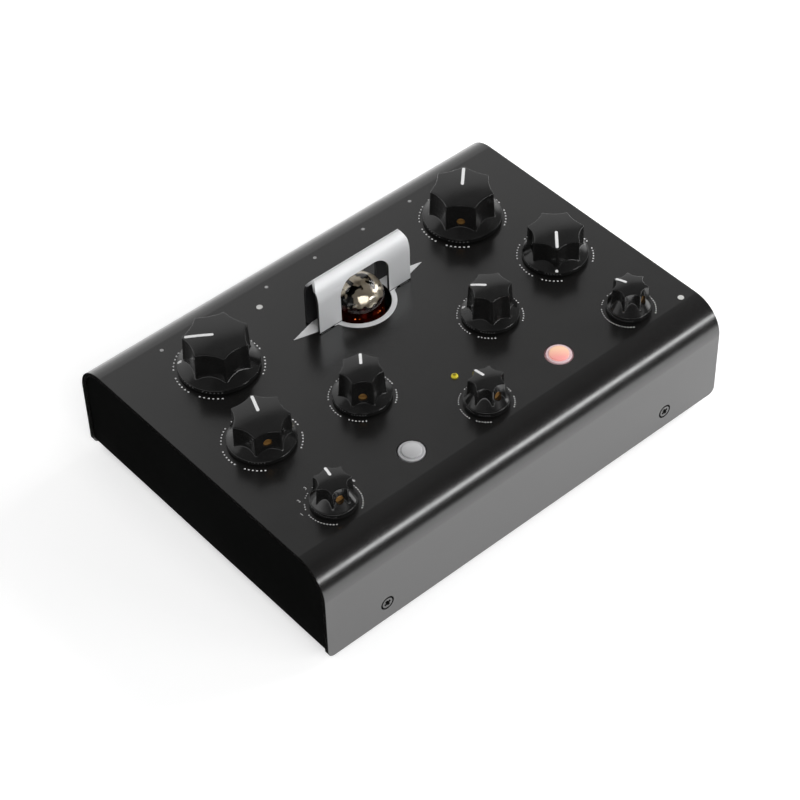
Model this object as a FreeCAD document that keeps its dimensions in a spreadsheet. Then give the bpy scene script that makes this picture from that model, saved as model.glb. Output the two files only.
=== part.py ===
import FreeCAD, Part
import math
import os
from types import SimpleNamespace

import Sketcher

# A desktop tube delay: a bent sheet-metal case with nine fluted knobs, two lit push buttons and a
# glass tube that stands in a hole of the top panel behind a pointed sheet guard.
# Lengths are millimetres and angles are degrees. +X runs to the right, +Y to the rear and +Z up.
# The pieces are built round the case's own middle, on the table. They are kept moved forward by
# the origin's setback, so that the origin lies under the middle of the whole unit's outline, which
# reaches from the front wall to the tip of the power switch's lever.

DEGREES_PER_RADIAN = 180 / math.pi
FLUTES = 7
QUARTER_TURN = 90
HALF_TURN = 180

SIZES = {
    # Case: one bent cover sheet over a tray with upturned ends
    "case_width": 205.0,
    "case_depth": 149.2,
    "case_height": 46.1,
    "cover_sheet": 2.0,
    "bend_radius": 14.0,
    "wall_corner": 3.0,
    "foot_height": 4.5,
    "tray_lift": 0.5,
    "tray_sheet": 1.5,
    "tray_bend": 2.5,
    "tray_recess": 0.8,
    "tray_gap": 0.3,
    "origin_setback": 7.37,
    # Cover screws and the tray's tabs behind them
    "front_screw_inset": 29.1,
    "rear_screw_inset": 6.3,
    "cover_screw_height": 8.76,
    "cover_screw_radius": 1.5,
    "cover_screw_head": 3.0,
    "cover_screw_head_depth": 1.6,
    "cover_screw_length": 8.0,
    "cover_screw_play": 0.15,
    "thread_play": 0.05,
    "front_tab_width": 14.0,
    "rear_tab_width": 6.6,
    "tab_margin": 5.0,
    # Feet
    "foot_inset_x": 18.5,
    "foot_inset_y": 17.6,
    "foot_radius": 6.35,
    "foot_draft": 0.6,
    "foot_bore": 3.2,
    "foot_bore_depth": 2.8,
    "foot_screw_radius": 1.5,
    "foot_screw_head": 2.8,
    "foot_screw_head_height": 1.8,
    "foot_screw_end": 2.0,
    # Boards
    "board_sheet": 1.6,
    "standoff_height": 4.0,
    "standoff_radius": 3.2,
    "standoff_spigot": 2.1,
    "board_screw_radius": 1.25,
    "board_screw_head": 2.75,
    "board_screw_head_height": 1.7,
    "board_screw_length": 5.0,
    "main_board_end_gap": 6.2,
    "main_board_front_gap": 12.6,
    "main_board_rear_gap": 2.6,
    "standoff_margin": 3.2,
    "standoff_front_margin": 5.0,
    "standoff_rear_margin": 20.0,
    "control_board_end_gap": 3.2,
    "control_board_front_gap": 6.6,
    "control_board_rear_gap": 16.6,
    "control_height": 7.5,
    "connector_inset": 42.0,
    "connector_y": 14.0,
    "connector_length": 30.0,
    "connector_width": 5.0,
    # Potentiometers, rotary switches and their shafts
    "pot_width": 17.0,
    "switch_radius": 9.0,
    "bushing_radius": 3.5,
    "bushing_rise": 2.5,
    "bushing_play": 0.2,
    "nut_across_flats": 10.0,
    "nut_height": 1.9,
    "nut_play": 0.05,
    "shaft_radius": 3.0,
    "shaft_flat": 0.5,
    "shaft_play": 0.05,
    "shaft_seat": 4.0,
    "shaft_end_gap": 0.3,
    # What all knobs share
    "skirt_gap": 0.6,
    "skirt_bevel": 0.25,
    "crown_rise": 0.8,
    "crown_bevel": 0.4,
    "tip_land": 0.35,
    "knob_recess": 6.4,
    "knob_recess_top": 2.9,
    "knob_hub": 5.0,
    "flute_overrun": 1.0,
    "set_screw_radius": 1.7,
    "set_screw_sink": 0.6,
    "set_screw_slot": 0.5,
    "set_screw_slot_depth": 0.7,
    # Push buttons
    "button_x": 38.1,
    "button_y": -49.1,
    "button_radius": 5.5,
    "button_play": 0.3,
    "button_rise": 1.35,
    "button_bevel": 1.2,
    "button_bevel_rise": 0.7,
    "button_flange": 6.8,
    "button_flange_height": 1.0,
    "button_travel": 0.8,
    "button_stem_radius": 1.9,
    "button_stem_length": 4.4,
    "button_switch_width": 12.0,
    "button_switch_height": 3.5,
    # Lamps
    "led_y": -30.8,
    "led_radius": 1.5,
    "led_rise": 1.3,
    "led_play": 0.1,
    "led_lead": 0.5,
    "led_lead_spread": 1.27,
    "led_lead_length": 4.0,
    "right_lamp_inset_x": 6.7,
    "right_lamp_inset_y": 16.0,
    "rear_lamp_x": -31.4,
    "rear_lamp_y": 50.2,
    "lamp_radius": 1.3,
    "lamp_play": 0.05,
    # Tube and what holds it
    "tube_y": 26.3,
    "tube_radius": 10.5,
    "tube_shoulder": 3.4,
    "tube_dome_height": 9.0,
    "tube_dome_corner": 7.5,
    "tube_wall": 1.0,
    "tube_floor": 2.0,
    "tube_pin_circle": 5.95,
    "tube_pin_radius": 0.5,
    "tube_pin_length": 6.0,
    "tube_pin_play": 0.02,
    "socket_radius": 11.0,
    "socket_height": 8.0,
    "socket_pin_play": 0.1,
    "mica_radius": 9.2,
    "mica_sheet": 0.4,
    "lower_mica_rise": 7.0,
    "anode_height": 20.0,
    "anode_width": 6.6,
    "anode_depth": 9.0,
    "anode_spread": 4.3,
    "getter_radius": 4.5,
    "getter_band": 0.9,
    "getter_height": 1.0,
    "getter_stalk": 0.4,
    "getter_rise": 4.0,
    "tube_hole": 13.3,
    "board_tube_hole": 14.0,
    # Trim ring round the tube hole, with a pointed end to each side
    "bezel_radius": 15.5,
    "bezel_sheet": 0.3,
    "bezel_reach": 33.5,
    "bezel_root_angle": 18.65,
    # Guard: a sheet folded to a pointed arch
    "guard_half_width": 23.55,
    "guard_half_depth": 4.5,
    "guard_sheet": 1.2,
    "guard_lift": 0.5,
    "guard_shoulder": 15.4,
    "guard_arch_radius": 13.0,
    "guard_ridge_round": 0.8,
    "guard_end_shoulder": 21.1,
    "guard_end_inset": 2.0,
    "guard_end_radius": 12.0,
    "guard_window": 12.4,
    "guard_window_top": 19.7,
    "guard_window_corner": 6.5,
    "guard_tab_inner": 18.0,
    "guard_tab_outer": 23.0,
    "guard_tab_depth": 5.0,
    "guard_slot_play": 0.15,
    # Rear jacks
    "jack_end_inset": 23.0,
    "jack_pitch": 25.4,
    "jack_axis_height": 10.4,
    "jack_width": 15.9,
    "jack_height": 18.4,
    "jack_depth": 28.0,
    "jack_nose": 4.75,
    "jack_nose_length": 6.0,
    "jack_nose_play": 0.25,
    "jack_bore": 3.25,
    "jack_bore_depth": 31.8,
    "jack_nut_across_flats": 13.0,
    "jack_nut_height": 2.6,
    # Power inlet
    "inlet_inset": 15.5,
    "inlet_axis_height": 6.5,
    "inlet_width": 9.0,
    "inlet_depth": 14.0,
    "inlet_height": 11.0,
    "inlet_nose": 4.0,
    "inlet_nose_play": 0.15,
    "inlet_bore": 2.85,
    "inlet_bore_depth": 10.0,
    "inlet_pin": 1.05,
    # Power switch
    "toggle_inset": 27.5,
    "toggle_body_width": 7.9,
    "toggle_body_depth": 9.7,
    "toggle_body_height": 13.2,
    "toggle_nose": 3.0,
    "toggle_nose_length": 8.0,
    "toggle_nose_play": 0.1,
    "toggle_pivot": 5.0,
    "toggle_ball": 1.9,
    "toggle_ball_play": 0.05,
    "toggle_bore_depth": 7.0,
    "toggle_pin": 0.6,
    "toggle_pin_half_length": 2.6,
    "toggle_pin_play": 0.05,
    "toggle_neck": 0.9,
    "toggle_tip": 1.5,
    "toggle_reach": 12.0,
    "toggle_tail": 3.3,
    "toggle_nut_across_flats": 8.0,
    "toggle_nut_height": 2.0,
}

# Each kind of knob, measured from the panel: its skirt, its grip and where its set screw sits
KNOB_KINDS = {
    "large": {
        "rim_radius": 16.4,
        "rim_top": 2.7,
        "grip_base": 13.8,
        "grip_base_height": 4.1,
        "grip_top": 13.2,
        "grip_height": 16.4,
        "flute_depth": 0.87,
        "screw_height": 8.1,
        "bore_top": 12.0,
    },
    "broad": {
        "rim_radius": 13.5,
        "rim_top": 2.6,
        "grip_base": 11.75,
        "grip_base_height": 3.6,
        "grip_top": 11.55,
        "grip_height": 13.6,
        "flute_depth": 1.0,
        "screw_height": 8.5,
        "bore_top": 10.5,
    },
    "tall": {
        "rim_radius": 11.65,
        "rim_top": 2.6,
        "grip_base": 9.45,
        "grip_base_height": 3.55,
        "grip_top": 8.7,
        "grip_height": 15.3,
        "flute_depth": 0.8,
        "screw_height": 7.4,
        "bore_top": 12.0,
    },
    "small": {
        "rim_radius": 9.15,
        "rim_top": 3.3,
        "grip_base": 7.65,
        "grip_base_height": 4.9,
        "grip_top": 7.35,
        "grip_height": 12.5,
        "flute_depth": 1.2,
        "screw_height": 7.6,
        "bore_top": 9.8,
    },
}

# Each dial: its kind of knob, its place on the panel, and where its pointer stands, turned
# counter-clockwise from the right
DIALS = {
    "cutoff": {"kind": "large", "x": 63.6, "y": 35.0, "pointer": 45},
    "delay_time": {"kind": "large", "x": -63.6, "y": 35.0, "pointer": 142},
    "drive": {"kind": "broad", "x": 76.2, "y": -7.0, "pointer": 229},
    "feedback": {"kind": "broad", "x": -76.2, "y": -7.0, "pointer": 67.5},
    "mix": {"kind": "tall", "x": -33.2, "y": -15.0, "pointer": 52.5},
    "resonance": {"kind": "tall", "x": 33.2, "y": -15.0, "pointer": 130},
    "input_level": {"kind": "small", "x": 0.0, "y": -49.1, "pointer": 92},
    "filter_mode": {"kind": "small", "x": 76.2, "y": -49.1, "pointer": 105},
    "delay_mode": {"kind": "small", "x": -76.2, "y": -49.1, "pointer": 75},
}
ROTARY_SWITCHES = ("filter_mode", "delay_mode")
JACKS = 5
TUBE_PINS = 9
TUBE_PIN_PITCH = 36
TOGGLE_TILT = 12.5

doc = FreeCAD.newDocument("tube_delay")
sheet = doc.addObject("Spreadsheet::Sheet", "Sizes")
nodes = []


class Size:
    """A number together with the formula on the sheet that gives it."""

    def __init__(self, number, text):
        self.number = number
        self.text = text

    def __add__(self, other):
        other = as_size(other)
        return Size(self.number + other.number, f"({self.text} + {other.text})")

    def __sub__(self, other):
        other = as_size(other)
        return Size(self.number - other.number, f"({self.text} - {other.text})")

    def __mul__(self, other):
        other = as_size(other)
        return Size(self.number * other.number, f"({self.text} * {other.text})")

    def __truediv__(self, other):
        other = as_size(other)
        return Size(self.number / other.number, f"({self.text} / {other.text})")

    def __radd__(self, other):
        return as_size(other) + self

    def __rsub__(self, other):
        return as_size(other) - self

    def __rmul__(self, other):
        return as_size(other) * self

    def __neg__(self):
        return as_size(0) - self


def as_size(value):
    """A plain number counts as a size that needs no cell."""
    return value if isinstance(value, Size) else Size(float(value), repr(float(value)))


def cosine(angle):
    return Size(math.cos(math.radians(angle.number)), f"cos({angle.text})")


def sine(angle):
    return Size(math.sin(math.radians(angle.number)), f"sin({angle.text})")


def root(value):
    return Size(math.sqrt(value.number), f"sqrt({value.text})")


def fill_sheet():
    """Write every driving size to a named cell, and give the sizes back by name."""
    entries = dict(SIZES)
    for kind, sizes in KNOB_KINDS.items():
        entries.update({f"{kind}_{name}": number for name, number in sizes.items()})
    for name, dial in DIALS.items():
        entries[f"{name}_x"] = dial["x"]
        entries[f"{name}_y"] = dial["y"]
    for row, (name, number) in enumerate(entries.items(), start=1):
        sheet.set(f"A{row}", name)
        sheet.set(f"B{row}", str(number))
        sheet.setAlias(f"B{row}", name)
    doc.recompute()
    return SimpleNamespace(**{name: Size(number, f"Sizes.{name}") for name, number in entries.items()})


dim = fill_sheet()

# Levels that several pieces share
case_bottom = dim.foot_height - dim.tray_lift
panel_top = case_bottom + dim.case_height
panel_underside = panel_top - dim.cover_sheet
bend_start = panel_top - dim.bend_radius
tray_floor = dim.foot_height + dim.tray_sheet
main_board_top = tray_floor + dim.standoff_height + dim.board_sheet
control_board_top = panel_underside - dim.control_height
control_board_bottom = control_board_top - dim.board_sheet
screw_level = case_bottom + dim.cover_screw_height
wall_face = dim.case_depth / 2
wall_inside = wall_face - dim.cover_sheet
tray_edge = wall_inside - dim.tray_gap
case_end = dim.case_width / 2
tray_end = case_end - dim.tray_recess
tray_inside = tray_end - dim.tray_sheet
front_screw_x = case_end - dim.front_screw_inset
rear_screw_x = case_end - dim.rear_screw_inset
main_board_end = tray_inside - dim.main_board_end_gap
main_board_front = dim.main_board_front_gap - wall_inside
main_board_rear = wall_inside - dim.main_board_rear_gap
control_board_end = tray_inside - dim.control_board_end_gap
connector_x = dim.connector_inset - control_board_end
inlet_x = dim.inlet_inset - case_end
toggle_x = dim.toggle_inset - case_end
toggle_pivot_y = wall_inside + dim.toggle_pivot
lamp_places = (
    (case_end - dim.right_lamp_inset_x, dim.right_lamp_inset_y - wall_face),
    (dim.rear_lamp_x, dim.rear_lamp_y),
)
jack_level = main_board_top + dim.jack_axis_height
inlet_level = main_board_top + dim.inlet_axis_height
tube_bottom = main_board_top + dim.socket_height
guard_front = dim.tube_y - dim.guard_half_depth
guard_rear = dim.tube_y + dim.guard_half_depth


def bind(item, **sizes):
    """Set properties of a document object, and tie each one that is a size to the sheet."""
    for name, value in sizes.items():
        if isinstance(value, Size):
            setattr(item, name, value.number)
            item.setExpression(name, value.text)
        else:
            setattr(item, name, value)
    return item


def place(item, x=0, y=0, z=0, turn=None):
    """Put an object at a point, turned if a rotation is given, with the point tied to the sheet."""
    spot = [as_size(value) for value in (x, y, z)]
    vector = FreeCAD.Vector(*[value.number for value in spot])
    item.Placement = FreeCAD.Placement(vector, turn or FreeCAD.Rotation())
    for axis, value in zip("xyz", spot):
        item.setExpression(f"Placement.Base.{axis}", value.text)
    return item


def turn_about(axis, angle):
    return FreeCAD.Rotation(FreeCAD.Vector(*axis), angle)


UPRIGHT = FreeCAD.Rotation()
REARWARD = turn_about((1, 0, 0), -QUARTER_TURN)
FORWARD = turn_about((1, 0, 0), QUARTER_TURN)
LEFTWARD = turn_about((0, 1, 0), -QUARTER_TURN)


def cylinder(name, radius, height, x, y, z, turn=UPRIGHT):
    item = bind(doc.addObject("Part::Cylinder", name), Radius=radius, Height=height)
    return place(item, x, y, z, turn)


def cone(name, first_radius, last_radius, height, x, y, z, turn=UPRIGHT):
    item = bind(doc.addObject("Part::Cone", name), Radius1=first_radius, Radius2=last_radius, Height=height)
    return place(item, x, y, z, turn)


def block(name, x, y, z):
    """A box given by its low and high edge along each axis."""
    item = doc.addObject("Part::Box", name)
    bind(item, Length=x[1] - x[0], Width=y[1] - y[0], Height=z[1] - z[0])
    return place(item, x[0], y[0], z[0])


def hexagon(name, across_flats, height, x, y, z, turn=UPRIGHT):
    item = doc.addObject("Part::Prism", name)
    bind(item, Polygon=6, Circumradius=across_flats / root(as_size(3)), Height=height)
    return place(item, x, y, z, turn)


def joined(name, items):
    return bind(doc.addObject("Part::MultiFuse", name), Shapes=items, Refine=True)


def cut(name, base, tool):
    return bind(doc.addObject("Part::Cut", name), Base=base, Tool=tool)


def group(name, items):
    return bind(doc.addObject("Part::Compound", name), Links=items)


def node(item, name):
    """Count a finished piece as one of the kept nodes, under its own name."""
    item.Label = name
    nodes.append(item)
    return item


def new_body(name):
    return doc.addObject("PartDesign::Body", f"{name}_body")


def sketch_on(body, name, plane, offset=0):
    """A sketch on one of the body's own origin planes, moved along the plane's normal."""
    sketch = body.newObject("Sketcher::SketchObject", name)
    support = next(part for part in body.Origin.OriginFeatures if part.Role == f"{plane}_Plane")
    offset = as_size(offset)
    sketch.AttachmentSupport = [(support, "")]
    sketch.MapMode = "FlatFace"
    sketch.AttachmentOffset = FreeCAD.Placement(FreeCAD.Vector(0, 0, offset.number), UPRIGHT)
    sketch.setExpression("AttachmentOffset.Base.z", offset.text)
    return sketch


def constrain(sketch, kind, *rest):
    """Add a constraint whose last value is a size, and tie it to the sheet."""
    size = rest[-1]
    number = sketch.addConstraint(Sketcher.Constraint(kind, *rest[:-1], size.number))
    sketch.setExpression(f"Constraints[{number}]", size.text)


def pin(sketch, edge, end, across, up):
    """Hold one point of an edge at its place, on an axis where the place is zero."""
    if across.text == "0.0":
        sketch.addConstraint(Sketcher.Constraint("PointOnObject", edge, end, -2))
    else:
        constrain(sketch, "DistanceX", -1, 1, edge, end, across)
    if up.text == "0.0":
        sketch.addConstraint(Sketcher.Constraint("PointOnObject", edge, end, -1))
    else:
        constrain(sketch, "DistanceY", -1, 1, edge, end, up)


def arc_edge(first, last, radius):
    """The arc between two points, its centre to the left of the way there, or right if radius is below 0."""
    chord = last - first
    rise = math.sqrt(max(radius * radius - chord.Length * chord.Length / 4, 0))
    left = FreeCAD.Vector(-chord.y, chord.x, 0).normalize()
    centre = (first + last) / 2 + left * math.copysign(rise, radius)
    start, end = (first, last) if radius > 0 else (last, first)
    angles = [math.atan2(point.y - centre.y, point.x - centre.x) for point in (start, end)]
    circle_edge = Part.Circle(centre, FreeCAD.Vector(0, 0, 1), abs(radius))
    return Part.ArcOfCircle(circle_edge, angles[0], angles[1])


def outline(sketch, corners):
    """Draw a closed outline and pin its corners.

    A corner is (across, up), or (across, up, radius) where the edge that leaves it is an arc: a radius
    over 0 has its centre to the left of the way along the outline, one below 0 to the right.
    """
    spots = [(as_size(corner[0]), as_size(corner[1])) for corner in corners]
    points = [FreeCAD.Vector(across.number, up.number, 0) for across, up in spots]
    count = len(corners)
    starts = []
    for index, corner in enumerate(corners):
        first, last = points[index], points[(index + 1) % count]
        if len(corner) == 3:
            radius = as_size(corner[2])
            edge = sketch.addGeometry(arc_edge(first, last, radius.number))
            bulges_out = radius.number > 0
            constrain(sketch, "Radius", edge, radius if bulges_out else -radius)
            starts.append((edge, 1 if bulges_out else 2, 2 if bulges_out else 1))
        else:
            edge = sketch.addGeometry(Part.LineSegment(first, last))
            starts.append((edge, 1, 2))
    for index, (edge, start, end) in enumerate(starts):
        following = starts[(index + 1) % count]
        sketch.addConstraint(Sketcher.Constraint("Coincident", edge, end, following[0], following[1]))
        pin(sketch, edge, start, *spots[index])


def ring(sketch, across, up, radius):
    """Draw a circle of a given radius at a given place."""
    across, up, radius = as_size(across), as_size(up), as_size(radius)
    centre = FreeCAD.Vector(across.number, up.number, 0)
    edge = sketch.addGeometry(Part.Circle(centre, FreeCAD.Vector(0, 0, 1), radius.number))
    constrain(sketch, "Radius", edge, radius)
    pin(sketch, edge, 3, across, up)


def rectangle(sketch, low_across, high_across, low_up, high_up):
    outline(sketch, [
        (low_across, low_up),
        (high_across, low_up),
        (high_across, high_up),
        (low_across, high_up),
    ])


def shaped(body, kind, name, profile, **settings):
    """Add a feature made from a sketch."""
    return bind(body.newObject(f"PartDesign::{kind}", name), Profile=profile, **settings)


def revolved(body, kind, name, profile):
    """Turn a profile a full turn round its sketch's upright axis, to add or to cut."""
    return shaped(body, kind, name, profile, ReferenceAxis=(profile, ["V_Axis"]), Angle=360)


def cone_cut(body, name, plane, spot, radii, height):
    """Cut a cone that starts at a spot given in one of the body's origin planes and along its normal."""
    tool = body.newObject("PartDesign::SubtractiveCone", name)
    support = next(part for part in body.Origin.OriginFeatures if part.Role == f"{plane}_Plane")
    tool.AttachmentSupport = [(support, "")]
    tool.MapMode = "FlatFace"
    vector = FreeCAD.Vector(*[value.number for value in spot])
    tool.AttachmentOffset = FreeCAD.Placement(vector, UPRIGHT)
    for axis, value in zip("xyz", spot):
        tool.setExpression(f"AttachmentOffset.Base.{axis}", value.text)
    return bind(tool, Radius1=radii[0], Radius2=radii[1], Height=height)


def edges_where(feature, test):
    """The names of the edges of a feature that meet a test."""
    doc.recompute()
    return [f"Edge{number}" for number, edge in enumerate(feature.Shape.Edges, start=1) if test(edge)]


def near(value, wanted):
    return abs(value - wanted) < 0.01


def wall_corners(body, wall):
    """Round the two lower corners of a wall."""
    half_width = dim.case_width.number / 2
    lowest = case_bottom.number

    def is_wall_corner(edge):
        middle = edge.BoundBox.Center
        runs_through = near(edge.BoundBox.YLength, edge.Length)
        return runs_through and near(abs(middle.x), half_width) and near(middle.z, lowest)

    rounded = body.newObject("PartDesign::Fillet", f"{wall.Name}_corners")
    rounded.Base = (wall, edges_where(wall, is_wall_corner))
    return bind(rounded, Radius=dim.wall_corner)


def wall_screw_holes(body, wall, screw_x, to_front):
    """The countersunk holes of one wall, near its two ends."""
    bore = dim.cover_screw_radius + dim.cover_screw_play
    sink = dim.cover_screw_head + dim.cover_screw_play
    holes = sketch_on(body, f"{wall}_screw_holes", "XZ")
    for side in (-1, 1):
        ring(holes, side * screw_x, screw_level, bore)
    shaped(body, "Pocket", f"{wall}_screw_openings", holes, Type="ThroughAll", Reversed=to_front)
    face = wall_face - dim.cover_screw_head_depth if to_front else -wall_face
    radii = (bore, sink) if to_front else (sink, bore)
    for side in (-1, 1):
        spot = (side * screw_x, screw_level, face)
        cone_cut(body, f"{wall}_countersink", "XZ", spot, radii, dim.cover_screw_head_depth)


def bent_cover():
    """The case's front wall, top panel and rear bend, one sheet, with all its holes."""
    body = new_body("top_cover")
    profile = sketch_on(body, "cover_profile", "YZ")
    inner_bend = dim.bend_radius - dim.cover_sheet
    flat_half = wall_face - dim.bend_radius
    outline(profile, [
        (wall_face, bend_start, dim.bend_radius),
        (flat_half, panel_top),
        (-flat_half, panel_top, dim.bend_radius),
        (-wall_face, bend_start),
        (-wall_face, case_bottom),
        (-wall_inside, case_bottom),
        (-wall_inside, bend_start, -inner_bend),
        (-flat_half, panel_underside),
        (flat_half, panel_underside, -inner_bend),
        (wall_inside, bend_start),
    ])
    bent = shaped(body, "Pad", "cover_sheet_bent", profile, Length=dim.case_width, SideType="Symmetric")
    wall_corners(body, bent)

    top_holes = sketch_on(body, "panel_holes", "XY")
    for name in DIALS:
        spot = (getattr(dim, f"{name}_x"), getattr(dim, f"{name}_y"))
        ring(top_holes, *spot, dim.bushing_radius + dim.bushing_play)
    ring(top_holes, 0, dim.tube_y, dim.tube_hole)
    for side in (-1, 1):
        ring(top_holes, side * dim.button_x, dim.button_y, dim.button_radius + dim.button_play)
    ring(top_holes, 0, dim.led_y, dim.led_radius + dim.led_play)
    for x, y in lamp_places:
        ring(top_holes, x, y, dim.lamp_radius + dim.lamp_play)
    guard_slots(top_holes)
    shaped(body, "Pocket", "panel_openings", top_holes, Type="ThroughAll", Reversed=True)
    wall_screw_holes(body, "front", front_screw_x, to_front=True)
    return body


def rear_wall():
    """The case's flat rear wall, which carries on from the cover's rear bend, with its holes."""
    body = new_body("rear_wall")
    profile = sketch_on(body, "rear_wall_profile", "YZ")
    rectangle(profile, wall_inside, wall_face, case_bottom, bend_start)
    plate = shaped(body, "Pad", "rear_wall_sheet", profile, Length=dim.case_width, SideType="Symmetric")
    wall_corners(body, plate)

    rear_holes = sketch_on(body, "rear_holes", "XZ")
    for jack_x in jack_places():
        ring(rear_holes, jack_x, jack_level, dim.jack_nose + dim.jack_nose_play)
    ring(rear_holes, inlet_x, inlet_level, dim.inlet_nose + dim.inlet_nose_play)
    ring(rear_holes, toggle_x, jack_level, dim.toggle_nose + dim.toggle_nose_play)
    shaped(body, "Pocket", "rear_openings", rear_holes, Type="ThroughAll")
    wall_screw_holes(body, "rear", rear_screw_x, to_front=False)
    return body


def guard_slots(sketch):
    """The four slots that the guard's tabs pass through."""
    play = dim.guard_slot_play
    low_x, high_x = dim.guard_tab_inner - play, dim.guard_tab_outer + play
    plates = (
        (guard_front - play, guard_front + dim.guard_sheet + play),
        (guard_rear - dim.guard_sheet - play, guard_rear + play),
    )
    for low_y, high_y in plates:
        rectangle(sketch, low_x, high_x, low_y, high_y)
        rectangle(sketch, -high_x, -low_x, low_y, high_y)


def jack_places():
    """The jacks' places along the rear wall, counted in from its right end."""
    last = case_end - dim.jack_end_inset
    return [last - index * dim.jack_pitch for index in reversed(range(JACKS))]


def bent_tray():
    """The floor with its upturned ends, and the tabs behind the cover's screws."""
    body = new_body("bottom_tray")
    profile = sketch_on(body, "tray_profile", "XZ")
    end_top = panel_underside - dim.tray_gap
    inner_bend = dim.tray_bend - dim.tray_sheet
    floor_bottom = dim.foot_height
    outer, inner = tray_end, tray_inside
    outline(profile, [
        (-outer, floor_bottom + dim.tray_bend, dim.tray_bend),
        (-outer + dim.tray_bend, floor_bottom),
        (outer - dim.tray_bend, floor_bottom, dim.tray_bend),
        (outer, floor_bottom + dim.tray_bend),
        (outer, end_top),
        (inner, end_top),
        (inner, tray_floor + inner_bend, -inner_bend),
        (inner - inner_bend, tray_floor),
        (-inner + inner_bend, tray_floor, -inner_bend),
        (-inner, tray_floor + inner_bend),
        (-inner, end_top),
        (-outer, end_top),
    ])
    bent = shaped(body, "Pad", "tray_bent", profile, Length=2 * tray_edge, SideType="Symmetric")

    plate_top = end_top.number
    edge_y = tray_edge.number

    def is_end_corner(edge):
        middle = edge.BoundBox.Center
        return near(middle.z, plate_top) and near(abs(middle.y), edge_y) and near(edge.BoundBox.YLength, 0)

    rounded = body.newObject("PartDesign::Fillet", "end_corners")
    rounded.Base = (bent, edges_where(bent, is_end_corner))
    bind(rounded, Radius=dim.bend_radius - dim.cover_sheet - dim.tray_gap)

    tabs = sketch_on(body, "tab_plan", "XY", dim.foot_height)
    inner_face = tray_edge - dim.tray_sheet
    for side in (-1, 1):
        for screw_x, width, faces in (
            (front_screw_x, dim.front_tab_width, (-tray_edge, -inner_face)),
            (rear_screw_x, dim.rear_tab_width, (inner_face, tray_edge)),
        ):
            middle = side * screw_x
            rectangle(tabs, middle - width / 2, middle + width / 2, *faces)
    tab_top = screw_level + dim.tab_margin - dim.foot_height
    shaped(body, "Pad", "tabs", tabs, Length=tab_top)

    threaded = dim.cover_screw_radius + dim.thread_play
    for wall, screw_x, to_front in (("front", front_screw_x, True), ("rear", rear_screw_x, False)):
        holes = sketch_on(body, f"{wall}_thread_holes", "XZ")
        for side in (-1, 1):
            ring(holes, side * screw_x, screw_level, threaded)
        shaped(body, "Pocket", f"{wall}_threads", holes, Type="ThroughAll", Reversed=to_front)

    floor_holes = sketch_on(body, "floor_holes", "XY")
    for x, y in foot_places():
        ring(floor_holes, x, y, dim.foot_screw_radius + dim.thread_play)
    for x, y in standoff_places():
        ring(floor_holes, x, y, dim.standoff_spigot + dim.thread_play)
    shaped(body, "Pocket", "floor_openings", floor_holes, Type="ThroughAll", Reversed=True)
    return body


def foot_places():
    foot_x, foot_y = case_end - dim.foot_inset_x, wall_face - dim.foot_inset_y
    return [(x * foot_x, y * foot_y) for x in (-1, 1) for y in (-1, 1)]


def standoff_places():
    standoff_x = main_board_end - dim.standoff_margin
    front_y = main_board_front + dim.standoff_front_margin
    rear_y = main_board_rear - dim.standoff_rear_margin
    return [(x * standoff_x, y) for x in (-1, 1) for y in (front_y, rear_y)]


def cover_screws():
    """Four countersunk screws through the front and rear walls into the tray's tabs."""
    screws = []
    shank_length = dim.cover_screw_length - dim.cover_screw_head_depth
    for screw_x, side, turn in (
        (front_screw_x, -1, REARWARD),
        (rear_screw_x, 1, FORWARD),
    ):
        for hand in (-1, 1):
            x = hand * screw_x
            face = side * wall_face
            neck = side * (wall_face - dim.cover_screw_head_depth)
            head = cone(
                "screw_head", dim.cover_screw_head, dim.cover_screw_radius, dim.cover_screw_head_depth,
                x, face, screw_level, turn,
            )
            shank = cylinder("screw_shank", dim.cover_screw_radius, shank_length, x, neck, screw_level, turn)
            screws.append(joined("cover_screw", [head, shank]))
    return group("cover_screw_set", screws)


def rubber_feet():
    """Four round feet, each with a counterbore for its screw."""
    feet = []
    for x, y in foot_places():
        foot = cone("foot", dim.foot_radius - dim.foot_draft, dim.foot_radius, dim.foot_height, x, y, 0)
        bore = cylinder("foot_bore", dim.foot_bore, dim.foot_bore_depth, x, y, 0)
        hole = cylinder("foot_hole", dim.foot_screw_radius + dim.thread_play, dim.foot_height, x, y, 0)
        feet.append(cut("foot_bored", foot, joined("foot_bores", [bore, hole])))
    return group("foot_set", feet)


def foot_screws():
    """A screw up through each foot into the tray's floor."""
    screws = []
    head_bottom = dim.foot_bore_depth - dim.foot_screw_head_height
    shank_end = tray_floor + dim.foot_screw_end
    for x, y in foot_places():
        head = cylinder("foot_screw_head", dim.foot_screw_head, dim.foot_screw_head_height,
                        x, y, head_bottom)
        shank_length = shank_end - dim.foot_bore_depth
        shank = cylinder("foot_screw_shank", dim.foot_screw_radius, shank_length, x, y, dim.foot_bore_depth)
        screws.append(joined("foot_screw", [head, shank]))
    return group("foot_screw_set", screws)


def standoffs():
    """Four hexagonal spacers under the main board, each held by a spigot pressed into the tray's floor."""
    spacers = []
    across = dim.standoff_radius * root(as_size(3))
    for x, y in standoff_places():
        column = hexagon("spacer_column", across, dim.standoff_height, x, y, tray_floor)
        spigot = cylinder("spacer_spigot", dim.standoff_spigot, dim.tray_sheet, x, y, dim.foot_height)
        bore = cylinder("spacer_bore", dim.board_screw_radius + dim.thread_play, dim.standoff_height,
                        x, y, tray_floor)
        spacers.append(cut("spacer", joined("spacer_blank", [column, spigot]), bore))
    return group("standoff_set", spacers)


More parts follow.
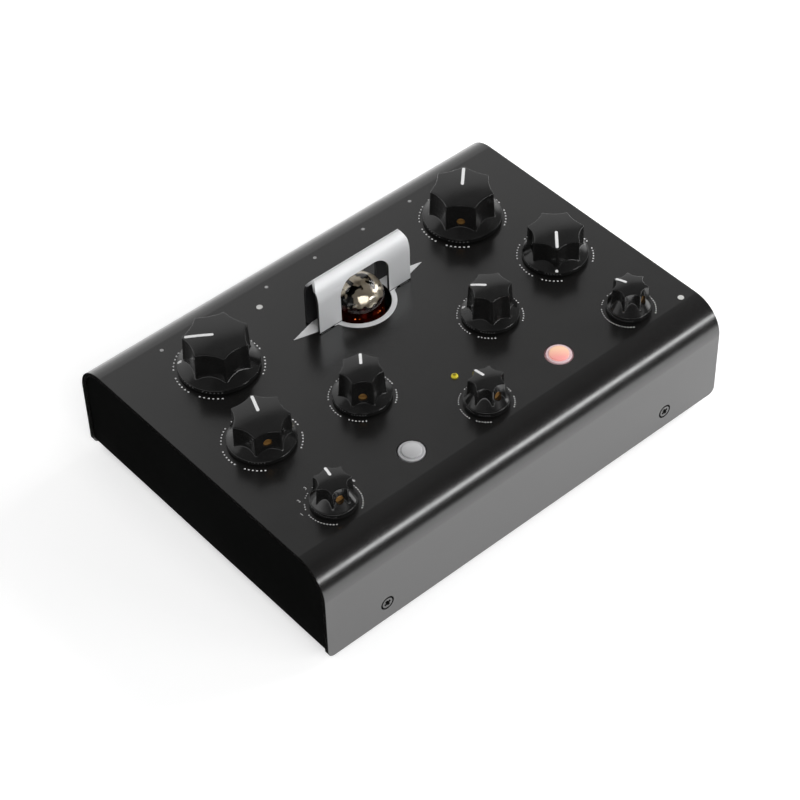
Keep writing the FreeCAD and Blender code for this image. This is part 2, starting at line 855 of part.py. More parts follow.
def board_screws():
    """A screw down through the main board into each spacer."""
    screws = []
    for x, y in standoff_places():
        head = cylinder("board_screw_head", dim.board_screw_head, dim.board_screw_head_height,
                        x, y, main_board_top)
        shank_bottom = main_board_top - dim.board_screw_length
        shank = cylinder("board_screw_shank", dim.board_screw_radius, dim.board_screw_length,
                         x, y, shank_bottom)
        screws.append(joined("board_screw", [head, shank]))
    return group("board_screw_set", screws)


def main_board():
    """The lower circuit board, on the spacers."""
    half = main_board_end
    bottom = main_board_top - dim.board_sheet
    board = block("main_board_plate", (-half, half), (main_board_front, main_board_rear),
                  (bottom, main_board_top))
    holes = [
        cylinder("board_hole", dim.board_screw_radius + dim.thread_play, dim.board_sheet, x, y, bottom)
        for x, y in standoff_places()
    ]
    return cut("main_board_drilled", board, joined("board_holes", holes))


def control_board():
    """The upper circuit board, under the panel, with a hole that the tube passes through."""
    half = control_board_end
    front = dim.control_board_front_gap - wall_inside
    rear = wall_inside - dim.control_board_rear_gap
    board = block("control_board_plate", (-half, half), (front, rear),
                  (control_board_bottom, control_board_top))
    hole = cylinder("control_board_hole", dim.board_tube_hole, dim.board_sheet,
                    0, dim.tube_y, control_board_bottom)
    return cut("control_board_drilled", board, hole)


def board_connector():
    """The pin strip between the two boards."""
    x, y = connector_x, dim.connector_y
    return block(
        "connector_strip",
        (x - dim.connector_length / 2, x + dim.connector_length / 2),
        (y - dim.connector_width / 2, y + dim.connector_width / 2),
        (main_board_top, control_board_bottom),
    )


def dial_place(name):
    return getattr(dim, f"{name}_x"), getattr(dim, f"{name}_y")


def dial_bodies(names, make_case):
    """The fixed bodies under some dials, each with a bushing bored for its shaft."""
    solids, bores = [], []
    bushing_bottom = control_board_top + dim.control_height / 2
    bushing_top = panel_top + dim.bushing_rise
    seat = panel_underside - dim.shaft_seat
    for name in names:
        x, y = dial_place(name)
        bushing = cylinder("bushing", dim.bushing_radius, bushing_top - bushing_bottom, x, y, bushing_bottom)
        solids.append(joined("dial_body", [make_case(x, y), bushing]))
        bores.append(cylinder("bushing_bore", dim.shaft_radius + dim.shaft_play, bushing_top - seat,
                              x, y, seat))
    return group(f"{names[0]}_bodies", [
        cut("dial_body_bored", solid, bore) for solid, bore in zip(solids, bores)
    ])


def pot_case(x, y):
    half = dim.pot_width / 2
    levels = (control_board_top, panel_underside)
    return block("pot_case", (x - half, x + half), (y - half, y + half), levels)


def rotary_case(x, y):
    return cylinder("rotary_case", dim.switch_radius, dim.control_height, x, y, control_board_top)


def bushing_nuts():
    """The nuts on the bushings, hidden by the knobs' skirts."""
    nuts = []
    for name in DIALS:
        x, y = dial_place(name)
        blank = hexagon("bushing_nut_blank", dim.nut_across_flats, dim.nut_height, x, y, panel_top)
        hole = cylinder("bushing_nut_hole", dim.bushing_radius + dim.nut_play, dim.nut_height,
                        x, y, panel_top)
        nuts.append(cut("bushing_nut", blank, hole))
    return group("bushing_nut_set", nuts)


def knob_sizes(kind):
    return SimpleNamespace(**{name: getattr(dim, f"{kind}_{name}") for name in KNOB_KINDS[kind]})


def on_panel(item, name):
    """Put a dial's piece at the dial's place on the panel, turned to where its pointer stands."""
    x, y = dial_place(name)
    return place(item, x, y, panel_top, turn_about((0, 0, 1), DIALS[name]["pointer"]))


def grip_radius_at(knob, height):
    """The grip's radius over its flutes' edges at a height over the panel."""
    taper = (knob.grip_top - knob.grip_base) / (knob.grip_height - knob.grip_base_height)
    return knob.grip_base + taper * (height - knob.grip_base_height)


def flute_floor(knob, height):
    """The distance from the axis to a flute's deepest line at a height."""
    edge = grip_radius_at(knob, height)
    return edge * cosine(flute_half_angle(edge)) - knob.flute_depth


def flute_half_angle(edge):
    """Half the angle that a flute spans, between the narrow lands on either side of it."""
    return as_size(HALF_TURN / FLUTES) - dim.tip_land / edge * DEGREES_PER_RADIAN


def flute_distance(knob):
    """The distance from the axis to the axis of the cone that hollows a flute, set at half height."""
    middle = (knob.grip_base_height + knob.grip_height) / 2
    edge = grip_radius_at(knob, middle)
    half_chord = edge * sine(flute_half_angle(edge))
    radius = (half_chord * half_chord + knob.flute_depth * knob.flute_depth) / (2 * knob.flute_depth)
    return flute_floor(knob, middle) + radius


def fluted_knob(name):
    """A knob with a flared skirt, a grip hollowed by seven flutes, and a crowned top.

    The pointer lies along the knob's own +X, over an edge between two flutes, so that the set screw
    sits in the flute that faces the other way.
    """
    knob = knob_sizes(DIALS[name]["kind"])
    body = new_body(f"{name}_knob")

    grip = sketch_on(body, f"{name}_grip_profile", "XZ")
    top_edge = knob.grip_top - dim.crown_bevel
    crown_radius = (top_edge * top_edge + dim.crown_rise * dim.crown_rise) / (2 * dim.crown_rise)
    outline(grip, [
        (0, dim.knob_recess_top),
        (grip_radius_at(knob, dim.knob_recess_top), dim.knob_recess_top),
        (knob.grip_top, knob.grip_height - dim.crown_bevel),
        (top_edge, knob.grip_height, crown_radius),
        (0, knob.grip_height + dim.crown_rise),
    ])
    revolved(body, "Revolution", f"{name}_grip", grip)

    low = dim.knob_recess_top - dim.flute_overrun
    high = knob.grip_height + dim.crown_rise + dim.flute_overrun
    distance = flute_distance(knob)
    radii = (distance - flute_floor(knob, low), distance - flute_floor(knob, high))
    flute = cone_cut(body, f"{name}_flute", "XY", (-distance, as_size(0), low), radii, high - low)
    flutes = body.newObject("PartDesign::PolarPattern", f"{name}_flutes")
    upright = next(part for part in body.Origin.OriginFeatures if part.Role == "Z_Axis")
    bind(flutes, Originals=[flute], Axis=(upright, [""]), Angle=360, Occurrences=FLUTES)
    body.Tip = flutes

    skirt = sketch_on(body, f"{name}_skirt_profile", "XZ")
    slope = (knob.grip_base_height - knob.rim_top) / (knob.rim_radius - dim.skirt_bevel - knob.grip_base)
    hub_top = knob.rim_top + slope * (knob.rim_radius - dim.skirt_bevel - dim.knob_hub)
    outline(skirt, [
        (dim.knob_recess, dim.skirt_gap),
        (knob.rim_radius, dim.skirt_gap),
        (knob.rim_radius, knob.rim_top - dim.skirt_bevel),
        (knob.rim_radius - dim.skirt_bevel, knob.rim_top),
        (dim.knob_hub, hub_top),
        (dim.knob_hub, dim.knob_recess_top),
        (dim.knob_recess, dim.knob_recess_top),
    ])
    revolved(body, "Revolution", f"{name}_skirt", skirt)

    bore = sketch_on(body, f"{name}_bore_plan", "XY")
    ring(bore, 0, 0, dim.shaft_radius + dim.shaft_play)
    shaped(body, "Pocket", f"{name}_bore", bore, Length=knob.bore_top, Reversed=True)

    screw_hole = sketch_on(body, f"{name}_screw_plan", "YZ")
    ring(screw_hole, 0, knob.screw_height, dim.set_screw_radius + dim.thread_play)
    shaped(body, "Pocket", f"{name}_screw_hole", screw_hole, Type="ThroughAll")
    return on_panel(body, name)


def dial_shaft(name):
    """The shaft from the dial's body up into its knob, with a flat for the set screw."""
    knob = knob_sizes(DIALS[name]["kind"])
    bottom = -dim.cover_sheet - dim.shaft_seat + dim.shaft_end_gap
    top = knob.bore_top - dim.shaft_end_gap
    rod = cylinder("shaft_rod", dim.shaft_radius, top - bottom, 0, 0, bottom)
    edge = dim.shaft_radius
    flat_bottom = dim.bushing_rise + dim.shaft_end_gap
    flat = block("shaft_flat", (-2 * edge, dim.shaft_flat - edge), (-edge, edge), (flat_bottom, top))
    return on_panel(cut(f"{name}_shaft_cut", rod, flat), name)


def set_screw(name):
    """The slotted set screw in the flute that faces away from the pointer."""
    knob = knob_sizes(DIALS[name]["kind"])
    outer = flute_floor(knob, knob.screw_height) - dim.set_screw_sink
    inner = dim.shaft_radius - dim.shaft_flat
    rod = cylinder("set_screw_rod", dim.set_screw_radius, outer - inner,
                   -inner, 0, knob.screw_height, LEFTWARD)
    half_slot = dim.set_screw_slot / 2
    slot = block(
        "set_screw_slot_cut",
        (-2 * outer, dim.set_screw_slot_depth - outer),
        (-dim.set_screw_radius, dim.set_screw_radius),
        (knob.screw_height - half_slot, knob.screw_height + half_slot),
    )
    return on_panel(cut(f"{name}_set_screw_cut", rod, slot), name)


def push_button(name, side):
    """A cap with a bevelled rim, a flange that stops it under the panel, and a stem into its switch."""
    body = new_body(name)
    profile = sketch_on(body, f"{name}_profile", "XZ")
    flange_top = -dim.cover_sheet - dim.button_play
    flange_bottom = flange_top - dim.button_flange_height
    stem_bottom = flange_bottom - dim.button_stem_length
    outline(profile, [
        (0, stem_bottom),
        (dim.button_stem_radius, stem_bottom),
        (dim.button_stem_radius, flange_bottom),
        (dim.button_flange, flange_bottom),
        (dim.button_flange, flange_top),
        (dim.button_radius, flange_top),
        (dim.button_radius, dim.button_rise - dim.button_bevel_rise),
        (dim.button_radius - dim.button_bevel, dim.button_rise),
        (0, dim.button_rise),
    ])
    revolved(body, "Revolution", f"{name}_cap", profile)
    return place(body, side * dim.button_x, dim.button_y, panel_top)


def button_switches():
    """The two momentary switches, each with a well for a button's stem."""
    switches = []
    half = dim.button_switch_width / 2
    top = control_board_top + dim.button_switch_height
    well = dim.button_stem_radius + dim.shaft_play
    flange_bottom = panel_underside - dim.button_play - dim.button_flange_height
    well_bottom = flange_bottom - dim.button_stem_length - dim.button_travel - dim.shaft_end_gap
    for side in (-1, 1):
        x, y = side * dim.button_x, dim.button_y
        housing = block("button_switch_housing", (x - half, x + half), (y - half, y + half),
                        (control_board_top, top))
        hole = cylinder("button_switch_well", well, top - well_bottom, x, y, well_bottom)
        switches.append(cut("button_switch", housing, hole))
    return group("button_switch_set", switches)


def level_led():
    """The round lamp below the tube, with a domed lens and two leads down to the board."""
    lens_top = panel_top + dim.led_rise
    centre = lens_top - dim.led_radius
    body_bottom = control_board_top + dim.led_lead_length
    barrel = cylinder("led_barrel", dim.led_radius, centre - body_bottom, 0, dim.led_y, body_bottom)
    sphere = bind(doc.addObject("Part::Sphere", "led_dome"), Radius=dim.led_radius)
    dome = place(sphere, 0, dim.led_y, centre)
    half = dim.led_lead / 2
    leads = [
        block(
            "led_lead_wire",
            (side * dim.led_lead_spread / 2 - half, side * dim.led_lead_spread / 2 + half),
            (dim.led_y - half, dim.led_y + half),
            (control_board_top, body_bottom + half),
        )
        for side in (-1, 1)
    ]
    return joined("led_solid", [barrel, dome] + leads)


def light_windows():
    """The two flush light pipes, from the board up to the panel's face."""
    height = panel_top - control_board_top
    return group("light_window_set", [
        cylinder("light_pipe", dim.lamp_radius, height, x, y, control_board_top)
        for x, y in lamp_places
    ])


def tube_glass():
    """The bulb: a thin envelope with a round shoulder and dome, and holes for its pins in the floor."""
    body = new_body("tube_glass")
    profile = sketch_on(body, "glass_profile", "XZ")
    radius, corner, height, wall = dim.tube_radius, dim.tube_dome_corner, dim.tube_dome_height, dim.tube_wall
    shoulder = panel_top + dim.tube_shoulder - tube_bottom
    top = shoulder + height
    offset = radius - corner
    crown = (offset * offset + height * height - corner * corner) / (2 * (height - corner))
    across, up = offset / (crown - corner), (crown - height) / (crown - corner)
    outline(profile, [
        (0, 0),
        (radius, 0),
        (radius, shoulder, corner),
        (offset + corner * across, shoulder + corner * up, crown),
        (0, top),
        (0, top - wall, wall - crown),
        (offset + (corner - wall) * across, shoulder + (corner - wall) * up, wall - corner),
        (radius - wall, shoulder),
        (radius - wall, dim.tube_floor),
        (0, dim.tube_floor),
    ])
    revolved(body, "Revolution", "glass_envelope", profile)
    holes = sketch_on(body, "glass_pin_holes", "XY")
    for x, y in tube_pin_places():
        ring(holes, x, y, dim.tube_pin_radius + dim.tube_pin_play)
    shaped(body, "Pocket", "glass_pin_openings", holes, Length=2 * dim.tube_floor, Reversed=True)
    return place(body, 0, dim.tube_y, tube_bottom)


def tube_pin_places():
    """The nine pins, with a gap in the circle at the rear where a tenth would be."""
    places = []
    for index in range(TUBE_PINS):
        angle = as_size(QUARTER_TURN + TUBE_PIN_PITCH * (index + 1))
        places.append((dim.tube_pin_circle * cosine(angle), dim.tube_pin_circle * sine(angle)))
    return places


def tube_pins():
    """The pins, from the socket up through the glass to the lower mica."""
    bottom = tube_bottom - dim.tube_pin_length
    length = dim.tube_pin_length + dim.lower_mica_rise
    return group("tube_pin_set", [
        cylinder("tube_pin", dim.tube_pin_radius, length, x, dim.tube_y + y, bottom)
        for x, y in tube_pin_places()
    ])


def tube_socket():
    """The socket on the main board, with a hole for each pin."""
    blank = cylinder("socket_blank", dim.socket_radius, dim.socket_height, 0, dim.tube_y, main_board_top)
    depth = dim.tube_pin_length + dim.shaft_end_gap
    holes = [
        cylinder("socket_hole", dim.tube_pin_radius + dim.socket_pin_play, depth,
                 x, dim.tube_y + y, tube_bottom - depth)
        for x, y in tube_pin_places()
    ]
    return cut("socket_drilled", blank, joined("socket_holes", holes))


def tube_micas():
    """The two thin discs that hold the electrodes."""
    lower = tube_bottom + dim.lower_mica_rise
    upper = lower + dim.mica_sheet + dim.anode_height
    return group("tube_mica_set", [
        cylinder("mica", dim.mica_radius, dim.mica_sheet, 0, dim.tube_y, level) for level in (lower, upper)
    ])


def tube_anodes():
    """The two anode boxes between the micas."""
    bottom = tube_bottom + dim.lower_mica_rise + dim.mica_sheet
    half_width, half_depth = dim.anode_width / 2, dim.anode_depth / 2
    return group("tube_anode_set", [
        block(
            "anode",
            (side * dim.anode_spread - half_width, side * dim.anode_spread + half_width),
            (dim.tube_y - half_depth, dim.tube_y + half_depth),
            (bottom, bottom + dim.anode_height),
        )
        for side in (-1, 1)
    ])


def tube_getter():
    """The channel ring over the upper mica, on its stalk."""
    upper_mica_top = tube_bottom + dim.lower_mica_rise + 2 * dim.mica_sheet + dim.anode_height
    level = upper_mica_top + dim.getter_rise
    outside = cylinder("getter_outside", dim.getter_radius, dim.getter_height, 0, dim.tube_y, level)
    inside = cylinder("getter_inside", dim.getter_radius - dim.getter_band, dim.getter_height,
                      0, dim.tube_y, level)
    stalk_y = dim.tube_y + dim.getter_radius - dim.getter_band / 2
    stalk = cylinder("getter_stalk", dim.getter_stalk, dim.getter_rise + dim.getter_height / 2,
                     0, stalk_y, upper_mica_top)
    return joined("getter_solid", [cut("getter_ring", outside, inside), stalk])


def tube_bezel():
    """The flat trim ring round the tube hole, drawn out to a point on each side."""
    body = new_body("tube_bezel")
    plan = sketch_on(body, "bezel_plan", "XY")
    root_x = dim.bezel_radius * cosine(dim.bezel_root_angle)
    root_y = dim.bezel_radius * sine(dim.bezel_root_angle)
    middle = dim.tube_y
    outline(plan, [
        (dim.bezel_reach, middle),
        (root_x, middle + root_y, dim.bezel_radius),
        (-root_x, middle + root_y),
        (-dim.bezel_reach, middle),
        (-root_x, middle - root_y, dim.bezel_radius),
        (root_x, middle - root_y),
    ])
    shaped(body, "Pad", "bezel_sheet_cut", plan, Length=dim.bezel_sheet)
    hole = sketch_on(body, "bezel_hole", "XY")
    ring(hole, 0, middle, dim.tube_hole)
    shaped(body, "Pocket", "bezel_opening", hole, Type="ThroughAll", Reversed=True)
    slots = sketch_on(body, "bezel_slots", "XY")
    guard_slots(slots)
    shaped(body, "Pocket", "bezel_slot_openings", slots, Type="ThroughAll", Reversed=True)
    return place(body, 0, 0, panel_top)


def tube_guard():
    """The guard: a sheet folded over the tube to a pointed arch, windowed front and rear, on four tabs."""
    body = new_body("tube_guard")
    profile = sketch_on(body, "arch_profile", "YZ")
    middle, half, wall = dim.tube_y, dim.guard_half_depth, dim.guard_sheet
    bottom, shoulder = dim.guard_lift, dim.guard_shoulder
    outer_radius = dim.guard_arch_radius
    inner_radius = outer_radius - wall
    reach = outer_radius - half
    ridge = shoulder + root(outer_radius * outer_radius - reach * reach)
    inner_ridge = shoulder + root(inner_radius * inner_radius - reach * reach)
    outline(profile, [
        (middle + half, bottom),
        (middle + half, shoulder, outer_radius),
        (middle, ridge, outer_radius),
        (middle - half, shoulder),
        (middle - half, bottom),
        (middle - half + wall, bottom),
        (middle - half + wall, shoulder, -inner_radius),
        (middle, inner_ridge, -inner_radius),
        (middle + half - wall, shoulder),
        (middle + half - wall, bottom),
    ])
    folded = shaped(body, "Pad", "arch", profile, Length=2 * dim.guard_half_width, SideType="Symmetric")

    ridge_top = ridge.number

    def is_ridge(edge):
        return near(edge.BoundBox.Center.z, ridge_top) and near(edge.BoundBox.XLength, edge.Length)

    rounded = body.newObject("PartDesign::Fillet", "ridge_round")
    rounded.Base = (folded, edges_where(folded, is_ridge))
    bind(rounded, Radius=dim.guard_ridge_round)

    ends = sketch_on(body, "end_cuts", "XZ")
    edge, inset = dim.guard_half_width, dim.guard_half_width - dim.guard_end_inset
    clear_edge, clear_top = edge + dim.guard_sheet, ridge + dim.guard_sheet
    outline(ends, [
        (edge, dim.guard_end_shoulder),
        (clear_edge, dim.guard_end_shoulder),
        (clear_edge, clear_top),
        (inset, clear_top),
        (inset, ridge, -dim.guard_end_radius),
    ])
    outline(ends, [
        (-edge, dim.guard_end_shoulder, -dim.guard_end_radius),
        (-inset, ridge),
        (-inset, clear_top),
        (-clear_edge, clear_top),
        (-clear_edge, dim.guard_end_shoulder),
    ])
    shaped(body, "Pocket", "end_rounds", ends, Type="ThroughAll", SideType="Symmetric")

    window = sketch_on(body, "window_outline", "XZ")
    side, top, corner = dim.guard_window, dim.guard_window_top, dim.guard_window_corner
    outline(window, [
        (-side, bottom - wall),
        (side, bottom - wall),
        (side, top - corner, corner),
        (side - corner, top),
        (corner - side, top, corner),
        (-side, top - corner),
    ])
    shaped(body, "Pocket", "windows", window, Type="ThroughAll", SideType="Symmetric")

    tabs = sketch_on(body, "guard_tabs", "XY", bottom)
    for low_y in (guard_front, guard_rear - wall):
        rectangle(tabs, dim.guard_tab_inner, dim.guard_tab_outer, low_y, low_y + wall)
        rectangle(tabs, -dim.guard_tab_outer, -dim.guard_tab_inner, low_y, low_y + wall)
    shaped(body, "Pad", "tab_strips", tabs, Length=dim.guard_tab_depth + bottom, Reversed=True)
    return place(body, 0, 0, panel_top)


def rear_jacks():
    """Five jacks on the main board, their noses through the rear wall."""
    jacks = []
    half = dim.jack_width / 2
    for x in jack_places():
        housing = block("jack_housing", (x - half, x + half), (wall_inside - dim.jack_depth, wall_inside),
                        (main_board_top, main_board_top + dim.jack_height))
        nose = cylinder("jack_nose_tube", dim.jack_nose, dim.jack_nose_length,
                        x, wall_inside, jack_level, REARWARD)
        mouth = wall_inside + dim.jack_nose_length
        bore = cylinder("jack_bore_hole", dim.jack_bore, dim.jack_bore_depth, x, mouth, jack_level, FORWARD)
        jacks.append(cut("jack", joined("jack_solid", [housing, nose]), bore))
    return group("jack_set", jacks)


def jack_nuts():
    """The nuts that hold the jacks' noses to the rear wall."""
    nuts = []
    for x in jack_places():
        blank = hexagon("jack_nut_blank", dim.jack_nut_across_flats, dim.jack_nut_height,
                        x, wall_face, jack_level, REARWARD)
        hole = cylinder("jack_nut_hole", dim.jack_nose + dim.nut_play, dim.jack_nut_height,
                        x, wall_face, jack_level, REARWARD)
        nuts.append(cut("jack_nut", blank, hole))
    return group("jack_nut_set", nuts)


def power_inlet():
    """The barrel inlet: a housing on the main board, its mouth level with the rear wall's face."""
    x, half = inlet_x, dim.inlet_width / 2
    housing = block("inlet_housing", (x - half, x + half), (wall_inside - dim.inlet_depth, wall_inside),
                    (main_board_top, main_board_top + dim.inlet_height))
    nose = cylinder("inlet_nose_tube", dim.inlet_nose, dim.cover_sheet,
                    x, wall_inside, inlet_level, REARWARD)
    bore = cylinder("inlet_bore_hole", dim.inlet_bore, dim.inlet_bore_depth,
                    x, wall_face, inlet_level, FORWARD)
    hollow = cut("inlet_hollow", joined("inlet_solid", [housing, nose]), bore)
    pin_start = wall_face - dim.inlet_bore_depth
    pin_length = dim.inlet_bore_depth - dim.inlet_pin
    centre_pin = cylinder("inlet_centre_pin", dim.inlet_pin, pin_length, x, pin_start, inlet_level, REARWARD)
    return joined("inlet_complete", [hollow, centre_pin])


def power_switch():
    """The toggle switch's housing; its bored nose goes through the rear wall and holds the pivot pin."""
    x, half = toggle_x, dim.toggle_body_width / 2
    half_height = dim.toggle_body_height / 2
    housing = block("toggle_housing", (x - half, x + half),
                    (wall_inside - dim.toggle_body_depth, wall_inside),
                    (jack_level - half_height, jack_level + half_height))
    nose = cylinder("toggle_nose_tube", dim.toggle_nose, dim.toggle_nose_length,
                    x, wall_inside, jack_level, REARWARD)
    mouth = wall_inside + dim.toggle_nose_length
    bore = cylinder("toggle_bore_hole", dim.toggle_ball + dim.toggle_ball_play, dim.toggle_bore_depth,
                    x, mouth, jack_level, FORWARD)
    pin_hole = cylinder("toggle_pin_hole", dim.toggle_pin + dim.toggle_pin_play, 2 * dim.toggle_nose,
                        x + dim.toggle_nose, toggle_pivot_y, jack_level, LEFTWARD)
    bores = joined("toggle_bores", [bore, pin_hole])
    return cut("toggle_bored", joined("toggle_solid", [housing, nose]), bores)


def power_switch_nut():
    blank = hexagon("toggle_nut_blank", dim.toggle_nut_across_flats, dim.toggle_nut_height,
                    toggle_x, wall_face, jack_level, REARWARD)
    hole = cylinder("toggle_nut_hole", dim.toggle_nose + dim.nut_play, dim.toggle_nut_height,
                    toggle_x, wall_face, jack_level, REARWARD)
    return cut("toggle_nut", blank, hole)


def power_switch_lever():
    """The toggle's lever: a bat-shaped stick on a ball with a pivot pin, tilted up to its upper stop."""
    body = new_body("power_switch_lever")
    profile = sketch_on(body, "lever_profile", "XZ")
    ball, neck, tip = dim.toggle_ball, dim.toggle_neck, dim.toggle_tip
    neck_level = root(ball * ball - neck * neck)
    outline(profile, [
        (0, -dim.toggle_tail),
        (neck, -dim.toggle_tail),
        (neck, -neck_level, ball),
        (neck, neck_level),
        (tip, dim.toggle_reach - tip, tip),
        (0, dim.toggle_reach),
    ])
    revolved(body, "Revolution", "lever_stick", profile)
    turn = turn_about((1, 0, 0), TOGGLE_TILT - QUARTER_TURN)
    place(body, toggle_x, toggle_pivot_y, jack_level, turn)
    pivot = cylinder("lever_pin", dim.toggle_pin, 2 * dim.toggle_pin_half_length,
                     toggle_x + dim.toggle_pin_half_length, toggle_pivot_y, jack_level, LEFTWARD)
    return joined("lever_on_pin", [body, pivot])


def check_document():
    """Stop if an object failed, if a cut took nothing away, or if a node isn't a sound solid."""
    for item in doc.Objects:
        if any(word in state for state in item.State for word in ("Invalid", "Error")):
            raise RuntimeError(f"{item.Name} failed: {item.State}")
        cuts = item.TypeId.startswith("PartDesign::") and any(
            word in item.TypeId for word in ("Pocket", "Groove", "Subtractive", "PolarPattern")
        )
        if cuts and item.Shape.Volume > item.BaseFeature.Shape.Volume - 1e-3:
            raise RuntimeError(f"{item.Name} cuts nothing")
    for item in nodes:
        if item.Shape.isNull() or not item.Shape.isValid() or not item.Shape.Solids:
            raise RuntimeError(f"{item.Label} isn't a sound solid")


def export_nodes():
    """Keep each node as a STEP file, in the frame whose origin lies under the whole unit's middle."""
    os.makedirs("parts", exist_ok=True)
    setback = FreeCAD.Vector(0, -dim.origin_setback.number, 0)
    for item in nodes:
        item.Shape.translated(setback).exportStep(os.path.join("parts", f"{item.Label}.step"))
        print(item.Label, "solids", len(item.Shape.Solids), "volume", round(item.Shape.Volume, 1))


node(bent_cover(), "top_cover")
node(rear_wall(), "rear_wall")
node(bent_tray(), "bottom_tray")
node(cover_screws(), "cover_screws")
node(rubber_feet(), "rubber_feet")
node(foot_screws(), "foot_screws")
node(tube_guard(), "tube_guard")
node(tube_bezel(), "tube_bezel")
node(tube_glass(), "tube_glass")
node(tube_pins(), "tube_pins")
node(tube_anodes(), "tube_anodes")
node(tube_micas(), "tube_micas")
node(tube_getter(), "tube_getter")
node(tube_socket(), "tube_socket")
node(control_board(), "control_board")
node(main_board(), "main_board")
node(standoffs(), "board_standoffs")
node(board_screws(), "board_screws")
node(board_connector(), "board_connector")
POTENTIOMETERS = [name for name in DIALS if name not in ROTARY_SWITCHES]
node(dial_bodies(POTENTIOMETERS, pot_case), "potentiometer_bodies")
node(dial_bodies(ROTARY_SWITCHES, rotary_case), "rotary_switch_bodies")
node(bushing_nuts(), "bushing_nuts")
for dial_name in DIALS:
    node(fluted_knob(dial_name), f"{dial_name}_knob")
    node(dial_shaft(dial_name), f"{dial_name}_shaft")
    node(set_screw(dial_name), f"{dial_name}_set_screw")
node(push_button("tap_button", -1), "tap_button")
node(push_button("bypass_button", 1), "bypass_button")
node(button_switches(), "button_switches")
node(level_led(), "level_led")
node(light_windows(), "light_windows")
node(rear_jacks(), "rear_jacks")
node(jack_nuts(), "jack_nuts")
node(power_inlet(), "power_inlet")
node(power_switch(), "power_switch")
node(power_switch_nut(), "power_switch_nut")
node(power_switch_lever(), "power_switch_lever")

doc.recompute()
check_document()
export_nodes()
print("nodes", len(nodes))
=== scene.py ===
"""Dress the desktop tube delay: finishes, fine pieces, prints, floor, lamps and camera."""

import logging
import math
from collections.abc import Callable, Iterable, Sequence
from dataclasses import dataclass
from enum import Enum
from functools import cache

import bmesh
import bpy
from mathutils import Matrix, Vector, noise


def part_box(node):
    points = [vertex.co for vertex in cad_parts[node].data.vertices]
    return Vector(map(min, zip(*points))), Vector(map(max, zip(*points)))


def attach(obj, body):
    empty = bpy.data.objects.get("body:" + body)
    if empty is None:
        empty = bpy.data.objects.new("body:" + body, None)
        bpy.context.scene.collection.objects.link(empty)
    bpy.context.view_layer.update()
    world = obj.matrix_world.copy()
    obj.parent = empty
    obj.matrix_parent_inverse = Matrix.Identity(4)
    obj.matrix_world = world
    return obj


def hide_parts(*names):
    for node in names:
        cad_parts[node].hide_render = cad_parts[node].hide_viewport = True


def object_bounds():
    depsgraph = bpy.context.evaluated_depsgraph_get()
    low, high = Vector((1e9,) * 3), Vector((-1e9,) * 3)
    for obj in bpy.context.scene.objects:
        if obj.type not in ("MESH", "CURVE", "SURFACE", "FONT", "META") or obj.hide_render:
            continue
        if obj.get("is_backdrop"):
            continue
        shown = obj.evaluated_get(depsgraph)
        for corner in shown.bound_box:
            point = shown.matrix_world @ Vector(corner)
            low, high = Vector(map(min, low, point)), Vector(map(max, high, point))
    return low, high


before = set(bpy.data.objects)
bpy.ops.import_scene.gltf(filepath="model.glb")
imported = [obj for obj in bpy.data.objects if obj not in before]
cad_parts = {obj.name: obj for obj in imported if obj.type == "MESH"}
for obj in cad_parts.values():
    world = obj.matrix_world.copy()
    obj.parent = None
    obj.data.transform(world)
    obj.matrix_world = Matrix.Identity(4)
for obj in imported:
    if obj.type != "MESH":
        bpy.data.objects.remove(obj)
log = logging.getLogger("tube_delay")

# Lengths are millimetres, but for the studio's, which are metres. MM turns the first into metres.
MM = 0.001
# Edges that turn by more than this stay sharp.
SHARP_ANGLE = math.radians(32)
# A radius below the first is a point on the axis, and points nearer than the second are one.
ON_AXIS = 1e-6
SAME_SPOT = 1e-4
# The points round a large smooth ring.
FINE_RING = 96

Point = tuple[float, float, float]
Flat = tuple[float, float]
Colour = tuple[float, float, float]
Socket = bpy.types.NodeSocket
Term = Socket | float | Sequence[float]


def box_mm(node: str) -> tuple[Vector, Vector]:
    """Give a frame node's lowest and highest corner in millimetres."""
    low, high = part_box(node)
    return low / MM, high / MM


def middle_mm(node: str) -> Flat:
    """Give the middle of a frame node, seen from above, in millimetres."""
    low, high = box_mm(node)
    return (low.x + high.x) / 2, (low.y + high.y) / 2


# From the frame: the panel's upper face, the case's middle and half its depth, and the tube's middle.
CASE_LOW, CASE_HIGH = box_mm("top_cover")
PANEL = CASE_HIGH.z
MIDDLE = (CASE_LOW.y + CASE_HIGH.y) / 2
HALF_DEPTH = (CASE_HIGH.y - CASE_LOW.y) / 2
TUBE_MIDDLE = middle_mm("tube_guard")[1]


def evaluated_mesh(item: bpy.types.Object) -> bpy.types.Mesh:
    """Give an object's mesh as its modifiers or its text make it."""
    bpy.context.view_layer.update()
    return bpy.data.meshes.new_from_object(item.evaluated_get(bpy.context.evaluated_depsgraph_get()))


def linked(name: str, data: bpy.types.ID) -> bpy.types.Object:
    """Make an object for some data and put it in the scene.

    Args:
        name: the object's name.
        data: its mesh, text, lamp or camera.

    Returns:
        The object.
    """
    item = bpy.data.objects.new(name, data)
    bpy.context.scene.collection.objects.link(item)
    return item


